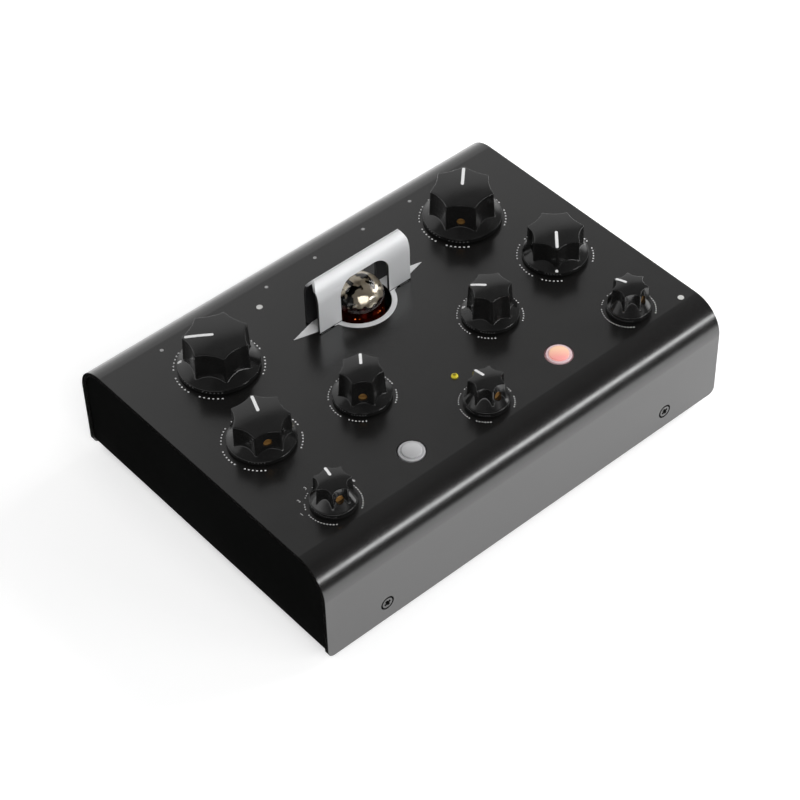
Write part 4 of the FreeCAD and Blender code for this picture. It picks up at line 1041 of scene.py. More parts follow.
@dataclass
class Knob:
    """A fluted knob with a flared skirt, its inlaid pointer, and the tick on its skirt."""

    name: str
    kind: KnobKind
    pointer: float
    flutes: int = 7
    skirt_gap: float = 0.6
    skirt_chamfer: float = 0.2
    rim_round: float = 0.45
    crown_rise: float = 0.8
    crown_inset: float = 0.4
    tip_land: float = 0.35
    tip_round: float = 0.3
    top_round: float = 0.32
    foot_round: float = 0.35
    recess_radius: float = 6.4
    recess_top: float = 2.9
    bore_radius: float = 3.05
    screw_hole: float = 1.75
    screw_hole_start: float = 2.45
    tick_length: float = 2.3
    tick_on_round: float = 0.6
    tick_clearance: float = 0.5
    columns_per_flute: int = 30
    crowding: float = 0.8

    def __post_init__(self) -> None:
        """Read the knob's place and skirt from the frame."""
        low, high = box_mm(f"{self.name}_knob")
        self.sizes = self.kind.value
        self.rim = (high.x - low.x) / 2
        self.x, self.y = middle_mm(f"{self.name}_knob")
        top_edge = self.sizes.grip_top - self.crown_inset
        self.crown_radius = (top_edge ** 2 + self.crown_rise ** 2) / (2 * self.crown_rise)
        rim_edge = self.rim - self.rim_round
        slope_run = rim_edge - self.sizes.grip_base
        self.slope = (self.sizes.grip_base_height - self.sizes.rim_top) / slope_run

    def edge_radius(self, height: float) -> float:
        """Give the grip's radius over the flutes' edges at a height.

        Args:
            height: the height over the panel.

        Returns:
            The distance from the axis.
        """
        sizes = self.sizes
        taper = (sizes.grip_top - sizes.grip_base) / (sizes.grip_height - sizes.grip_base_height)
        return sizes.grip_base + taper * (height - sizes.grip_base_height)

    def flute_floor(self, height: float) -> float:
        """Give the distance from the axis to a flute's deepest line at a height.

        Args:
            height: the height over the panel.

        Returns:
            The distance.
        """
        edge = self.edge_radius(height)
        half_angle = math.pi / self.flutes - self.tip_land / edge
        return edge * math.cos(half_angle) - self.sizes.flute_depth

    def grip_radius(self, angle: float, height: float) -> float:
        """Give the distance from the axis to the fluted grip.

        Args:
            angle: the direction from the axis, from the pointer.
            height: the height over the panel.

        Returns:
            The distance, with the edges between the flutes rounded.
        """
        middle = (self.sizes.grip_base_height + self.sizes.grip_height) / 2
        middle_edge = self.edge_radius(middle)
        half_chord = middle_edge * math.sin(math.pi / self.flutes - self.tip_land / middle_edge)
        hollow = (half_chord ** 2 + self.sizes.flute_depth ** 2) / (2 * self.sizes.flute_depth)
        distance = self.flute_floor(middle) + hollow
        radius = distance - self.flute_floor(height)
        step = math.tau / self.flutes
        off_flute = (angle % step) - step / 2
        reach = radius ** 2 - (distance * math.sin(off_flute)) ** 2
        edge = self.edge_radius(height)
        if reach <= 0:
            return edge
        flute = distance * math.cos(off_flute) - math.sqrt(reach)
        blend = max(self.tip_round - abs(edge - flute), 0.0) / self.tip_round
        return min(edge, flute) - blend ** 2 * self.tip_round / 4

    def crown(self, radius: float) -> float:
        """Give the crown's height at a distance from the axis.

        Args:
            radius: the distance from the axis.

        Returns:
            The height over the panel.
        """
        sink = self.crown_radius - math.sqrt(self.crown_radius ** 2 - radius ** 2)
        return self.sizes.grip_height + self.crown_rise - sink

    def skirt(self, radius: float) -> float:
        """Give the skirt's height at a distance from the axis."""
        return self.sizes.rim_top + self.slope * (self.rim - self.rim_round - radius)

    def column(self, angle: float) -> list[Flat]:
        """Give the knob's profile at one angle, from the bore out, up and in to the crown's middle.

        Args:
            angle: the direction from the axis, from the pointer.

        Returns:
            The radius and height of each point.
        """
        foot_height = self.sizes.grip_base_height
        for _ in range(4):
            foot_height = self.skirt(self.grip_radius(angle, foot_height))
        foot = self.grip_radius(angle, foot_height)
        top = self.grip_radius(angle, self.sizes.grip_height)
        crest = self.crown(top)
        rim, rounding = self.rim, self.rim_round
        points = [
            (self.bore_radius, self.sizes.bore_top),
            (self.bore_radius, self.recess_top),
            (self.recess_radius, self.recess_top),
            (self.recess_radius, self.skirt_gap),
            (rim - self.skirt_chamfer, self.skirt_gap),
            (rim, self.skirt_gap + self.skirt_chamfer),
        ]
        points += bend(
            (rim, self.sizes.rim_top - rounding), (rim, self.sizes.rim_top),
            (rim - rounding, self.sizes.rim_top), 4,
        )
        near_foot = foot + self.foot_round
        for share in (0.33, 0.67):
            radius = rim - rounding + (near_foot - rim + rounding) * share
            points.append((radius, self.skirt(radius)))
        points += bend(
            (near_foot, self.skirt(near_foot)), (foot, foot_height),
            (self.grip_radius(angle, foot_height + self.foot_round), foot_height + self.foot_round), 3,
        )
        for share in (0.35, 0.7):
            height = foot_height + (crest - foot_height) * share
            points.append((self.grip_radius(angle, height), height))
        inner = top - self.top_round
        points += bend((top, crest - self.top_round), (top, crest), (inner, self.crown(inner)), 4)
        for share in (0.94, 0.8, 0.6, 0.4, 0.2):
            points.append((inner * share, self.crown(inner * share)))
        return points

    def angles(self) -> list[float]:
        """Give the columns' angles, closer together near the edges between the flutes.

        Returns:
            The angles from the pointer, in radians.
        """
        count = self.columns_per_flute
        step = math.tau / self.flutes
        shares = [
            turn / count - self.crowding * math.sin(math.tau * turn / count) / math.tau
            for turn in range(count)
        ]
        return [step * (flute + share) for flute in range(self.flutes) for share in shares]

    def placed(self, shape: Shape) -> Shape:
        """Turn a shape to where the pointer stands and put it at the knob's place."""
        turn = Matrix.Rotation(math.radians(self.pointer), 4, "Z")
        return shape.moved(Matrix.Translation((self.x, self.y, PANEL)) @ turn)

    def body(self) -> Shape:
        """Make the knob itself, with the hole for its set screw.

        Returns:
            The knob's shape, with its pointer to the right and its axis at the origin.
        """
        columns = [(angle, self.column(angle)) for angle in self.angles()]
        rows: list[list[Point]] = [[(0.0, 0.0, self.sizes.bore_top)]]
        for index in range(len(columns[0][1])):
            ring = [(angle, *points[index]) for angle, points in columns]
            rows.append([
                (radius * math.cos(angle), radius * math.sin(angle), height)
                for angle, radius, height in ring
            ])
        rows.append([(0.0, 0.0, self.crown(0.0))])
        hole = Shape().prism(circle(self.screw_hole, 32), self.screw_hole_start, self.rim)
        lift = Matrix.Translation((0, 0, self.sizes.screw_height))
        hole.moved(lift @ Matrix.Rotation(-math.pi / 2, 4, "Y"))
        return Shape().skin(rows).cut([hole])

    def strip(self, start: float, end: float, surface: Callable[[float], float], width: float) -> Shape:
        """Lay a strip of white along the pointer's line.

        Args:
            start: the radius of its outer end.
            end: the radius of its inner end.
            surface: gives the height of what it lies on at a radius.
            width: its width.

        Returns:
            The strip.
        """
        proud, depth = 0.035, 0.12
        radii = [start + (end - start) * share for share in eased(18)]
        line = [(radius, 0.0, surface(radius) + proud) for radius in radii]
        return ribbon(Shape(), line, [Vector((0, 1, 0))] * len(line), width, depth)

    def build(self) -> None:
        """Make the knob, its pointer and its tick."""
        dial = f"{self.name}_dial"
        Piece(f"{self.name}_knob_cap", dial, Finish.KNOB, "knob_plastic").make(
            self.placed(self.body()), [f"{self.name}_knob"],
        )
        sizes = self.sizes
        line = self.strip(sizes.pointer_start, sizes.pointer_end, self.crown, sizes.pointer_width)
        Piece(f"{self.name}_pointer", dial, Finish.INK).make(self.placed(line), even=False)
        outer = self.rim - self.rim_round * self.tick_on_round
        inner = max(outer - self.tick_length, sizes.grip_base + self.tick_clearance)
        tick = self.strip(outer, inner, self.skirt, sizes.pointer_width)
        Piece(f"{self.name}_tick", dial, Finish.INK).make(self.placed(tick), even=False)


@dataclass
class Scale:
    """The ring of short printed strokes round one knob."""

    knob: Knob
    strokes: Sequence[float]
    stroke_share: float = 0.46
    pitch: float = 5.9
    rise: float = 0.02

    def build(self) -> None:
        """Print the strokes on the panel."""
        knob, radius = self.knob, self.knob.sizes.scale_radius
        half = math.radians(self.pitch * self.stroke_share / 2)
        shape = Shape()
        for middle in self.strokes:
            angles = [math.radians(middle) + half * (2 * share - 1) for share in eased(6)]
            line = [
                (knob.x + radius * math.cos(angle), knob.y + radius * math.sin(angle), PANEL + self.rise)
                for angle in angles
            ]
            side = [Vector((math.cos(angle), math.sin(angle), 0)) for angle in angles]
            ribbon(shape, line, side, knob.sizes.dash_width, self.rise / 2)
        Piece(f"{knob.name}_scale", "case", Finish.INK).make(shape, even=False)


def dial_strokes() -> list[float]:
    """Give the angles of a plain dial's strokes: four groups on each side and one at the rear.

    Returns:
        The angles, counter-clockwise from the right.
    """
    groups = (
        (-146, -117, 6), (-100, -70.5, 6), (-55, -25, 6), (-9, 9, 4),
        (25, 55, 6), (70.5, 100, 6), (117, 146, 6),
    )
    strokes = []
    for first, last, count in groups:
        strokes += [90 - (first + (last - first) * index / (count - 1)) for index in range(count)]
    return strokes


def run(first: float, last: float, pitch: float) -> list[float]:
    """Give evenly spaced angles from one to another."""
    count = round((last - first) / pitch)
    return [first + (last - first) * index / count for index in range(count + 1)]


# Where a switch's long arc on the right ends in front, in degrees. The arc on the left mirrors it.
ARC_END = -56


def switch_strokes(positions: Sequence[float], first: float, pitch: float) -> list[float]:
    """Give the angles of a switch's strokes: three between neighbouring positions, and two long arcs.

    Args:
        positions: the angles of the switch's positions.
        first: where the arc on the right begins, below the first position.
        pitch: the spacing of the arcs' strokes.

    Returns:
        The angles, counter-clockwise from the right.
    """
    strokes = []
    for low, high in zip(positions, positions[1:]):
        middle = (low + high) / 2
        strokes += [middle - pitch, middle, middle + pitch]
    return strokes + run(ARC_END, first, pitch) + run(180 - first, 180 - ARC_END, pitch)


@dataclass
class ControlPanel:
    """What lies on the top panel: knobs, scales, buttons, lamps and printed dots."""

    small_pitch: float = 6.2
    numeral_height: float = 1.9
    numeral_radius: float = 12.9
    dot_radius: float = 0.75
    ink: float = 0.02
    mode_positions: tuple[float, ...] = (15, 45, 75, 105, 135, 165)
    mode_arc: float = 7
    filter_positions: tuple[float, ...] = (45, 75, 105, 135)
    filter_arc: float = 38
    dots: tuple[Flat, ...] = (
        (-75, 57), (-22.1, 57.3), (3.3, 57.5), (28.9, 57.4), (54.4, 57.5), (80.5, 59),
    )

    def __post_init__(self) -> None:
        """Set out the nine knobs, each with the way its pointer stands."""
        stands = {
            "cutoff": (KnobKind.LARGE, 45),
            "delay_time": (KnobKind.LARGE, 142),
            "drive": (KnobKind.BROAD, 229),
            "feedback": (KnobKind.BROAD, 67.5),
            "mix": (KnobKind.TALL, 52.5),
            "resonance": (KnobKind.TALL, 130),
            "input_level": (KnobKind.SMALL, 92),
            "filter_mode": (KnobKind.SMALL, 105),
            "delay_mode": (KnobKind.SMALL, 75),
        }
        self.knobs = {name: Knob(name, kind, pointer) for name, (kind, pointer) in stands.items()}

    def build(self) -> None:
        """Make all that lies on the panel."""
        for knob in self.knobs.values():
            knob.build()
        switches = {
            "delay_mode": switch_strokes(self.mode_positions, self.mode_arc, self.small_pitch),
            "filter_mode": switch_strokes(self.filter_positions, self.filter_arc, self.small_pitch),
        }
        for name, knob in self.knobs.items():
            Scale(knob, switches.get(name) or dial_strokes()).build()
        self.numerals()
        self.jack_dots()

    def numerals(self) -> None:
        """Print the numbers of the delay switch's positions outside its ring."""
        knob = self.knobs["delay_mode"]
        for number, angle in enumerate(reversed(self.mode_positions), start=1):
            text = bpy.data.curves.new("numeral", "FONT")
            text.body = str(number)
            text.size = self.numeral_height * MM
            text.extrude = self.ink / 2 * MM
            text.align_x = text.align_y = "CENTER"
            holder = linked("numeral", text)
            shape = Shape()
            shape.mesh.from_mesh(evaluated_mesh(holder))
            bpy.data.objects.remove(holder)
            x = knob.x + self.numeral_radius * math.cos(math.radians(angle))
            y = knob.y + self.numeral_radius * math.sin(math.radians(angle))
            place = Matrix.Translation((x, y, PANEL + self.ink / 2))
            shape.moved(place @ Matrix.Scale(1 / MM, 4))
            bmesh.ops.remove_doubles(shape.mesh, verts=shape.mesh.verts, dist=SAME_SPOT)
            Piece(f"mode_numeral_{number}", "case", Finish.INK).make(shape, even=False)

    def jack_dots(self) -> None:
        """Print a dot on the panel over each fitting of the rear wall."""
        shape = Shape()
        for x, y in self.dots:
            spot = (x, MIDDLE + y, PANEL)
            profile = [(0, 0), (self.dot_radius, 0), (self.dot_radius, self.ink), (0, self.ink)]
            shape.revolve(profile, spot, 24)
        Piece("rear_dots", "case", Finish.DIM_INK).make(shape, even=False)


@dataclass
class PushButton:
    """A push button's cap: a low dome in a pale rim, with its stem below the panel."""

    name: str
    body: str
    top_finish: Finish
    rim_finish: Finish
    radius: float = 5.2
    dome_radius: float = 4.0
    rise: float = 1.35
    dome_rise: float = 0.5
    rim_rise: float = 0.3
    lip: float = 0.3
    lip_round: float = 0.25
    lip_crown: float = 0.02
    groove: float = 0.14
    groove_run: float = 0.25
    dome_gap: float = 0.02
    dome_lift: float = 0.01
    dome_edge: float = 0.3
    dome_edge_rise: float = 0.04
    dome_rings: tuple[float, ...] = (0.88, 0.75, 0.6, 0.4, 0.2, 0.0)
    flange_radius: float = 6.8
    flange_top: float = -2.3
    flange_bottom: float = -3.3
    stem_radius: float = 1.9
    stem_bottom: float = -7.7

    def build(self) -> None:
        """Make the cap's rim with its stem, and the domed top set into it."""
        centre = (*middle_mm(f"{self.name}_button"), PANEL)
        seat = self.rim_rise - self.groove
        profile = [
            (0, self.stem_bottom), (self.stem_radius, self.stem_bottom),
            (self.stem_radius, self.flange_bottom), (self.flange_radius, self.flange_bottom),
            (self.flange_radius, self.flange_top), (self.radius, self.flange_top),
            *bend((self.radius, self.rim_rise - self.lip_round), (self.radius, self.rim_rise),
                  (self.radius - self.lip, self.rim_rise + self.lip_crown), 4),
            (self.dome_radius + self.groove_run, seat + self.lip_crown),
            (self.dome_radius, seat), (0, seat),
        ]
        Piece(f"{self.name}_cap_rim", self.body, self.rim_finish, f"{self.name}_cap").make(
            Shape().revolve(profile, centre, FINE_RING), [f"{self.name}_button"],
        )
        Piece(f"{self.name}_cap_top", self.body, self.top_finish, f"{self.name}_cap").make(
            Shape().revolve(self.dome(seat + self.dome_lift), centre, FINE_RING),
        )

    def dome(self, foot: float) -> list[Flat]:
        """Give the profile of the cap's domed top.

        Args:
            foot: the height of its flat underside.

        Returns:
            The radius and height of each point.
        """
        inner = self.dome_radius - self.dome_gap
        edge = self.rise - self.dome_rise
        curve = (inner ** 2 + self.dome_rise ** 2) / (2 * self.dome_rise)
        crown = [
            (inner * share, self.rise - curve + math.sqrt(curve ** 2 - (inner * share) ** 2))
            for share in self.dome_rings
        ]
        corner = (inner, edge + self.dome_edge_rise)
        shoulder = bend((inner, edge - self.dome_edge), corner, crown[0], 5)
        return [(0, foot), (inner, foot), *shoulder, *crown[1:]]


@dataclass
class Tube:
    """The glass bulb with the mirror film in its dome, a film of painted shade below it, and painted
    glints of the heater glow.
    """

    radius: float = 10.5
    shoulder: float = 3.4
    dome_height: float = 9.0
    dome_corner: float = 7.5
    wall: float = 0.8
    foot_round: float = 2.5
    floor: float = 2.0
    floor_round: float = 2.0
    film_gap: float = 0.06
    film_thickness: float = 0.05
    film_edge_rise: float = 1.3
    scallops: int = 15
    scallop_rise: float = 0.85
    ragged_reach: float = 1.6
    ragged_level: float = 4.0
    shade_film_lift: float = 1.0
    shade_film_insets: Flat = (0.14, 0.2)
    shade_film_rises: tuple[float, ...] = (1.0, 2.0, 3.0, 4.0)
    # The painted glints of the heater glow: their level, gap to the glass, size and directions.
    glint_level: float = -0.6
    glint_gap: float = 0.1
    glint_reach: float = 0.6
    glint_tilts: tuple[float, ...] = (-0.8, 0.0, 0.8)
    glints: tuple[Flat, ...] = (
        (-138, 0.3), (-128, 0.16), (-73, 0.34), (-80, 0.16), (-62, 0.14), (70, 0.3), (120, 0.3),
    )

    def __post_init__(self) -> None:
        """Read the tube's place from the frame."""
        foot = box_mm("tube_glass")[0].z
        self.centre = (*middle_mm("tube_glass"), foot)
        self.shoulder_rise = PANEL + self.shoulder - foot
        self.offset = self.radius - self.dome_corner
        slack = 2 * (self.dome_height - self.dome_corner)
        self.crown = (self.offset ** 2 + self.dome_height ** 2 - self.dome_corner ** 2) / slack

    def dome(self, inset: float, steps: int) -> list[Flat]:
        """Give the dome's profile from its shoulder to its top.

        Args:
            inset: how far inside the outer face it lies.
            steps: how many steps each of its two arcs has.

        Returns:
            The radius and height of each point.
        """
        crown, corner = self.crown, self.dome_corner
        turn = math.degrees(math.asin(self.offset / (crown - corner)))
        low = arc((self.offset, self.shoulder_rise), corner - inset, 0, 90 - turn, steps)
        top_centre = (0, self.shoulder_rise + self.dome_height - crown)
        return low + arc(top_centre, crown - inset, 90 - turn, 90, steps)[1:]

    def envelope(self) -> Shape:
        """Make the blown glass with its inner face.

        Returns:
            The glass's shape, an outer and an inner skin.
        """
        radius, rounding = self.radius, self.foot_round
        outer = [(0, 0), *bend((radius - rounding, 0), (radius, 0), (radius, rounding), 6)]
        outer += self.dome(0, 14)
        outer[-1] = (0, outer[-1][1])
        inner = self.dome(self.wall, 14)[::-1]
        inner[0] = (0, inner[0][1])
        inside, floor, rounding = radius - self.wall, self.floor, self.floor_round
        inner += bend((inside, floor + rounding), (inside, floor), (inside - rounding, floor), 5)
        inner.append((0, floor))
        shape = Shape().revolve(outer, self.centre, FINE_RING)
        return shape.revolve(inner, self.centre, FINE_RING)

    def film(self) -> Shape:
        """Make the mirror film inside the dome, down to its ragged lower edge.

        Returns:
            The film's shape.
        """
        steps = 160
        profile = self.dome(self.wall + self.film_gap, 16)[::-1]
        top = profile[0][1]
        layers = []
        for thickness in (0.0, self.film_thickness):
            layer = []
            for radius, height in profile:
                share = (top - height) / (top - self.shoulder_rise)
                ring = []
                for turn in range(1 if radius < ON_AXIS else steps):
                    angle = math.tau * turn / steps
                    lifted = top - share * (top - self.film_edge(angle))
                    ring.append(self.on_dome(lifted, self.wall + self.film_gap + thickness, angle))
                layer.append(ring)
            layers.append(layer)
        outer, inner = layers
        return Shape().skin(outer + inner[::-1])

    def film_edge(self, angle: float) -> float:
        """Give the height of the film's ragged, scalloped lower edge at an angle.

        Args:
            angle: the direction from the tube's axis.

        Returns:
            The height over the tube's foot.
        """
        reach, level = self.ragged_reach, self.ragged_level
        ragged = noise.noise(Vector((math.cos(angle) * reach, math.sin(angle) * reach, level)))
        scallop = max(0.0, math.sin(angle * self.scallops)) ** 0.5
        return self.shoulder_rise + self.film_edge_rise + ragged + self.scallop_rise * scallop

    def on_dome(self, height: float, inset: float, angle: float) -> Point:
        """Give the point of the dome's inner face at a height and an angle.

        Args:
            height: the height over the tube's foot.
            inset: how far inside the outer face it lies.
            angle: the direction from the tube's axis.

        Returns:
            The point.
        """
        offset, corner, crown = self.offset, self.dome_corner, self.crown
        low_rise = height - self.shoulder_rise
        low_reach = (corner - inset) ** 2 - low_rise ** 2
        top_rise = low_rise - self.dome_height + crown
        top_reach = (crown - inset) ** 2 - top_rise ** 2
        low_radius = offset + math.sqrt(max(low_reach, 0.0))
        top_radius = math.sqrt(max(top_reach, 0.0))
        seam = offset / (crown - corner)
        on_top = top_rise / (crown - inset) > math.sqrt(1 - seam ** 2)
        radius = top_radius if on_top else low_radius
        return (
            self.centre[0] + radius * math.cos(angle),
            self.centre[1] + radius * math.sin(angle),
            self.centre[2] + height,
        )

    def haze(self) -> Shape:
        """Make the film of painted shade on the glass wall, from the mirror's lower edge down to below
        the panel.

        Returns:
            The film's shape.
        """
        low, high = self.foot_round + self.shade_film_lift, self.shoulder_rise
        rows = []
        for inset in (self.wall + gap for gap in self.shade_film_insets):
            wall = [(self.radius - inset, low), (self.radius - inset, high)]
            dome = [self.on_dome(high + rise, inset, 0.0) for rise in self.shade_film_rises]
            wall += [(x - self.centre[0], z - self.centre[2]) for x, _, z in dome]
            rows.append(wall)
        return Shape().revolve(rows[0] + rows[1][::-1], self.centre, FINE_RING, closed=True)

    def painted_glints(self) -> Shape:
        """Make the painted glints: small spots of painted glow at the foot of the bulb.

        Returns:
            The spots' shape.
        """
        shape = Shape()
        level = PANEL - self.centre[2] + self.glint_level
        for angle, size in self.glints:
            turn = math.radians(angle)
            reach = self.radius - self.wall - self.glint_gap - size * self.glint_reach
            x, y, z = self.centre
            side = [(size * math.cos(tilt), level + size * math.sin(tilt)) for tilt in self.glint_tilts]
            profile = [(0, level - size), *side, (0, level + size)]
            shape.revolve(profile, (x + reach * math.cos(turn), y + reach * math.sin(turn), z), 16)
        return shape

    def build(self) -> None:
        """Make the glass, the mirror film, the film of painted shade and the painted glints."""
        Piece("glass_envelope", "case", Finish.GLASS, "tube_glass").make(
            self.envelope(), ["tube_glass"], even=False,
        )
        Piece("getter_film", "case", Finish.MIRROR).make(self.film(), even=False)
        Piece("painted_shade_wall", "case", Finish.SMOKE).make(self.haze())
        Piece("painted_heater_glints", "case", Finish.HEATER).make(self.painted_glints(), even=False)


@dataclass
class GuardSeam:
    """A painted shadow in the thin gap between the guard's feet and the panel: a dark strip where there
    is only shade.
    """

    window_half: float = 12.4
    bottom: float = 0.02
    top: float = 0.62
    thickness: float = 0.06

    def build(self) -> None:
        """Fill the gap with the dark strip along each face of the guard, but for its window."""
        low, high = box_mm("tube_guard")
        half = self.thickness / 2
        shape = Shape()
        for y in (low.y, high.y):
            for left, right in ((low.x, -self.window_half), (self.window_half, high.x)):
                outline = [(left, y - half), (right, y - half), (right, y + half), (left, y + half)]
                shape.prism(outline, PANEL + self.bottom, PANEL + self.top)
        Piece("guard_gap_shade", "case", Finish.GAP).make(shape, even=False)


@dataclass
class CoverScrews:
    """The cover's four countersunk screws, each with a cross recess."""

    head_radius: float = 3.0
    shank_radius: float = 1.5
    head_depth: float = 1.6
    head_gap: float = 0.62
    gap_reach: float = 0.06
    gap_slant: Flat = (0.1, 0.3)
    gap_proud: float = 0.01
    neck_depth: float = 0.5
    face_round: Flat = (0.08, 0.1)
    length: float = 8.0
    tip: float = 0.3
    wing_half: float = 0.64
    wing_reach: float = 1.6
    turn: float = 28.0
    recess_depth: float = 1.2
    recess_over: float = 0.1
    recess_taper: float = 0.45
    recess_shade: tuple[Flat, ...] = ((0, -0.9), (1.25, -0.6), (1.5, -0.12), (0, -0.12))
    places: tuple[tuple[float, int], ...] = ((73.4, -1), (-73.4, -1), (96.2, 1), (-96.2, 1))
    level: float = 12.76

    def screw(self) -> Shape:
        """Make one screw, its head's face up and its axis upright, with the recess cut in.

        Returns:
            The screw's shape.
        """
        face, shank, tip = self.head_radius - self.head_gap, self.shank_radius, self.tip
        edge, edge_depth = face + self.face_round[0], self.face_round[1]
        profile = [
            (0, -self.length), (shank - tip, -self.length), (shank, -self.length + tip),
            (shank, -self.head_depth), (edge, -self.neck_depth), (edge, -edge_depth), (face, 0), (0, 0),
        ]
        blank = Shape().revolve(profile, (0, 0, 0), 48)
        wing, reach = self.wing_half, self.wing_reach
        cross = [
            (reach, -wing), (reach, wing), (wing, wing),
            (wing, reach), (-wing, reach), (-wing, wing),
            (-reach, wing), (-reach, -wing), (-wing, -wing),
            (-wing, -reach), (wing, -reach), (wing, -wing),
        ]
        rows = [
            [(x * share, y * share, level) for x, y in cross]
            for share, level in ((self.recess_taper, -self.recess_depth), (1.0, self.recess_over))
        ]
        return blank.cut([Shape().skin(rows, ends=True)])

    def shadows(self) -> Shape:
        """Make the painted shade in the bottom of the recess and in the gap round the head.

        Returns:
            Their shape, placed as the screw's.
        """
        inner, outer = self.head_radius - self.head_gap, self.head_radius + self.gap_reach
        slant, slant_depth = self.gap_slant
        gap = [
            (inner, -self.neck_depth), (outer - slant, -slant_depth),
            (outer, self.gap_proud), (inner, self.gap_proud),
        ]
        shape = Shape().revolve(gap, (0, 0, 0), 48, closed=True)
        return shape.revolve(self.recess_shade, (0, 0, 0), 4)

    def build(self) -> None:
        """Set the four screws into the front and rear walls."""
        screws, shadows = Shape(), Shape()
        for x, side in self.places:
            place = Matrix.Translation((x, MIDDLE + side * HALF_DEPTH, self.level))
            outward = Matrix.Rotation(-side * math.pi / 2, 4, "X")
            set_in = place @ outward @ Matrix.Rotation(math.radians(self.turn), 4, "Z")
            screws.take_in(self.screw().moved(set_in))
            shadows.take_in(self.shadows().moved(set_in))
        Piece("cross_head_screws", "case", Finish.SCREW_PAINT, "painted_screw").make(
            screws, ["cover_screws"],
        )
        Piece("screw_shadows", "case", Finish.GAP).make(shadows, even=False)


@dataclass(frozen=True)
class Lamp:
    """A soft box, placed in metres from the point that it lights."""

    name: str
    place: Point
    size: Flat
    brightness: float
    along_case: bool = False
    glossy: bool = False

    def build(self, target: Vector) -> None:
        """Hang the lamp and turn it to the object, or square to the case's length.

        Args:
            target: the point that it lights.
        """
        light = bpy.data.lights.new(self.name, "AREA")
        light.shape = "RECTANGLE"
        light.size, light.size_y = self.size
        light.energy = self.brightness * math.pi * self.size[0] * self.size[1]
        holder = linked(self.name, light)
        holder.location = target + Vector(self.place)
        away = Vector((0.0 if self.along_case else self.place[0], *self.place[1:]))
        holder.rotation_euler = away.to_track_quat("Z", "Y").to_euler()
        holder.visible_camera = False
        holder.visible_glossy = self.glossy


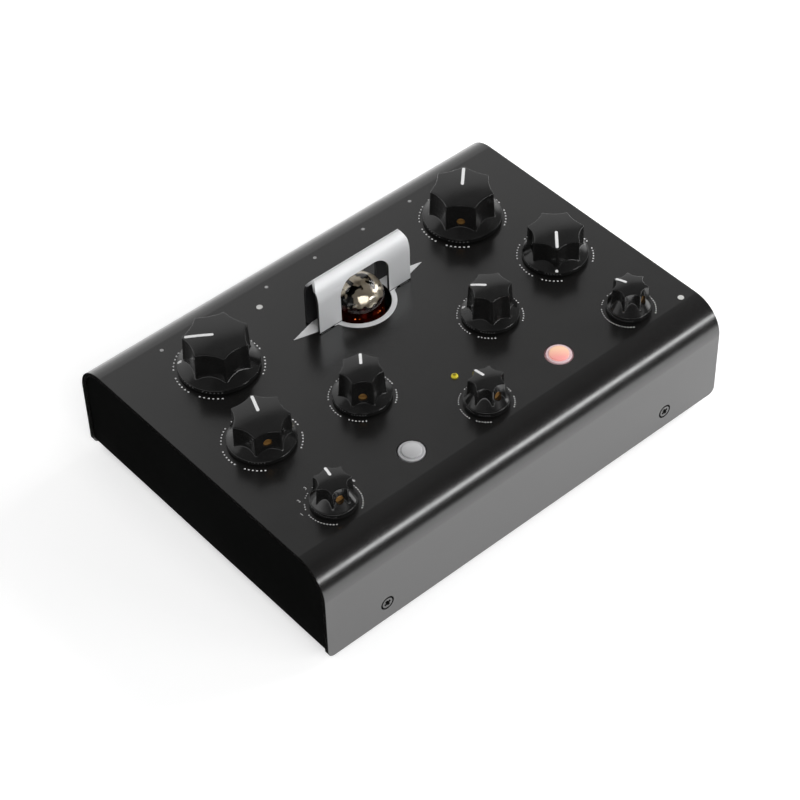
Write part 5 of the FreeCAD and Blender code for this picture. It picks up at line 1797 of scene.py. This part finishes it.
@dataclass
class Studio:
    """The floor, the lamps, the dark cards, the surroundings and the camera."""

    floor_half: float = 6.0
    floor_lift: float = 0.5
    paper: tuple[Colour, Colour] = ((0.86, 0.86, 0.86), (0.88, 0.88, 0.88))
    cards: tuple[tuple[Point, Point, Point, Point], ...] = (
        ((-0.15, -0.28, 0.001), (0.36, -0.28, 0.001), (0.36, -0.28, 0.1), (-0.15, -0.28, 0.1)),
        ((-0.6, -0.16, 0.0006), (-0.1035, -0.16, 0.0006), (-0.1035, 0.3, 0.0006), (-0.6, 0.3, 0.0006)),
    )
    azimuth: float = -39.825
    elevation: float = 46.067
    roll: float = -1.799
    distance: float = 0.955991
    target: Point = (-9.621, -9.07, 27.06)
    focal_pixels: float = 2418.352
    image_pixels: float = 800.0
    sensor: float = 36.0
    clip: Flat = (0.05, 50.0)
    glows: tuple[tuple[Point, tuple[Flat, ...]], ...] = (
        ((0, 0, 1), ((0.0, 1.0), (0.575, 0.95), (0.65, 0.0))),
        ((0, 1, -1), (
            (0.1, 0.05), (0.16, 0.1), (0.42, 0.13), (0.445, 0.33), (0.48, 0.5), (0.7, 0.7), (1.0, 1.0),
        )),
    )
    lamps: tuple[Lamp, ...] = (
        Lamp("strip_box", (0.656, -1.09, 0.513), (0.7, 0.17), 9.0, True, True),
        Lamp("front_box", (-0.25, -1.0, 0.85), (0.9, 0.7), 3.5),
        Lamp("right_box", (1.2, -0.15, 0.5), (0.9, 0.9), 5.2),
        Lamp("rear_box", (-0.49, 0.75, 1.07), (0.5, 0.5), 3.0),
    )

    def sheet(self, name: str, corners: Sequence[Point]) -> bpy.types.Object:
        """Make a flat sheet of the studio, in metres.

        Args:
            name: the sheet's name.
            corners: its four corners.

        Returns:
            The sheet's object.
        """
        mesh = bmesh.new()
        mesh.faces.new([mesh.verts.new(corner) for corner in corners])
        data = bpy.data.meshes.new(name)
        mesh.to_mesh(data)
        mesh.free()
        item = linked(name, data)
        item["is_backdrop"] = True
        return item

    def floor(self) -> None:
        """Lay a plain white floor that keeps the object's shadow."""
        half = self.floor_half
        corners = [(-half, -half, 0), (half, -half, 0), (half, half, 0), (-half, half, 0)]
        item = self.sheet("floor", corners)
        graph = Surface("floor_paper", Specular_IOR_Level=0.0, Roughness=1.0, Emission_Color=(1, 1, 1))
        graph.paint(
            Base_Color=graph.colours(graph.clouds(400, 2), (0.3, self.paper[0]), (0.7, self.paper[1])),
            Emission_Strength=self.seen(graph),
        )
        item.data.materials.append(graph.material)

    def seen(self, graph: Graph) -> Socket:
        """Give the floor's lift for the rays that see it directly, in a gloss or through glass.

        Args:
            graph: the floor's shader nodes.

        Returns:
            The lift's socket.
        """
        path = graph.node("LightPath").outputs
        direct = graph.combined("MAXIMUM", path["Is Camera Ray"], path["Is Glossy Ray"])
        seen = graph.combined("MAXIMUM", direct, path["Is Transmission Ray"])
        return graph.combined("MULTIPLY", seen, self.floor_lift)

    def flags(self) -> None:
        """Set up two black cards: one low in front to darken the front bend, one at the left end."""
        graph = Surface("black_card", Specular_IOR_Level=0.0, Roughness=1.0)
        graph.paint(Base_Color=graph.shades(graph.clouds(20, 2), (0.01, 0.01, 0.01), 1.0, 1.2))
        for name, corners in zip(("front_card", "left_card"), self.cards):
            item = self.sheet(name, corners)
            item.data.materials.append(graph.material)
            item.visible_camera = False
            item.visible_diffuse = False
            item.visible_shadow = False

    def surroundings(self) -> None:
        """Fill the room with soft light: white to just over the horizon, higher up bright only behind."""
        world = bpy.data.worlds.new("studio")
        bpy.context.scene.world = world
        world.use_nodes = True
        graph = Graph(world.node_tree)
        place = graph.node("TexCoord").outputs["Generated"]
        glows = []
        for direction, stops in self.glows:
            towards = Vector(direction).normalized()
            along = graph.combined("DOT_PRODUCT", place, towards, kind="VectorMath")
            share = graph.node("MapRange", Value=along, From_Min=-1.0).outputs["Result"]
            glows.append(graph.colours(share, *((position, (level,) * 3) for position, level in stops)))
        background = graph.node("Background", Color=graph.combined("MAXIMUM", *glows))
        graph.node("OutputWorld", Surface=background.outputs["Background"])

    def aim(self) -> Vector:
        """Give the point that the lamps and the camera face, in metres."""
        return (Vector(self.target) + Vector((0, MIDDLE, 0))) * MM

    def camera(self) -> None:
        """Set the camera at the photograph's angle."""
        azimuth, elevation, roll = (math.radians(a) for a in (self.azimuth, self.elevation, self.roll))
        back = Vector((
            math.sin(azimuth) * math.cos(elevation),
            -math.cos(azimuth) * math.cos(elevation),
            math.sin(elevation),
        ))
        right = Vector((math.cos(azimuth), math.sin(azimuth), 0))
        up = back.cross(right)
        across = right * math.cos(roll) + up * math.sin(roll)
        upward = up * math.cos(roll) - right * math.sin(roll)
        data = bpy.data.cameras.new("camera")
        data.sensor_width = self.sensor
        data.lens = self.focal_pixels * self.sensor / self.image_pixels
        data.clip_start, data.clip_end = self.clip
        item = linked("camera", data)
        turn = Matrix((across, upward, back)).transposed().to_4x4()
        item.matrix_world = Matrix.Translation(self.aim() + back * self.distance) @ turn
        bpy.context.scene.camera = item

    def build(self) -> None:
        """Make the whole studio."""
        self.floor()
        self.flags()
        self.surroundings()
        for lamp in self.lamps:
            lamp.build(self.aim())
        self.camera()
        bpy.context.scene.view_settings.view_transform = "Standard"


def write_sizes(frame_box: tuple[Vector, Vector]) -> None:
    """Set the frame's box and the dressed object's box side by side; the table is not kept.

    Args:
        frame_box: the frame's lowest and highest corner.
    """
    boxes = {"cad": frame_box, "visual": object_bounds()}
    sizes = {name: [list(corner) for corner in box] for name, box in boxes.items()}


def main() -> None:
    """Dress the frame piece by piece and set the studio round it."""
    logging.basicConfig(level=logging.INFO, format="%(message)s")
    frame_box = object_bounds()
    dress_frame_nodes()
    ControlPanel().build()
    PushButton("tap", "tap_push", Finish.TAP_CAP, Finish.TAP_RIM).build()
    PushButton("bypass", "bypass_push", Finish.BYPASS_CAP, Finish.BYPASS_RIM).build()
    Tube().build()
    soften_edges("tube_guard", 0.5)
    soften_edges("tube_bezel", 0.12)
    GuardSeam().build()
    CoverScrews().build()
    Studio().build()
    write_sizes(frame_box)


if __name__ == "__main__":
    main()
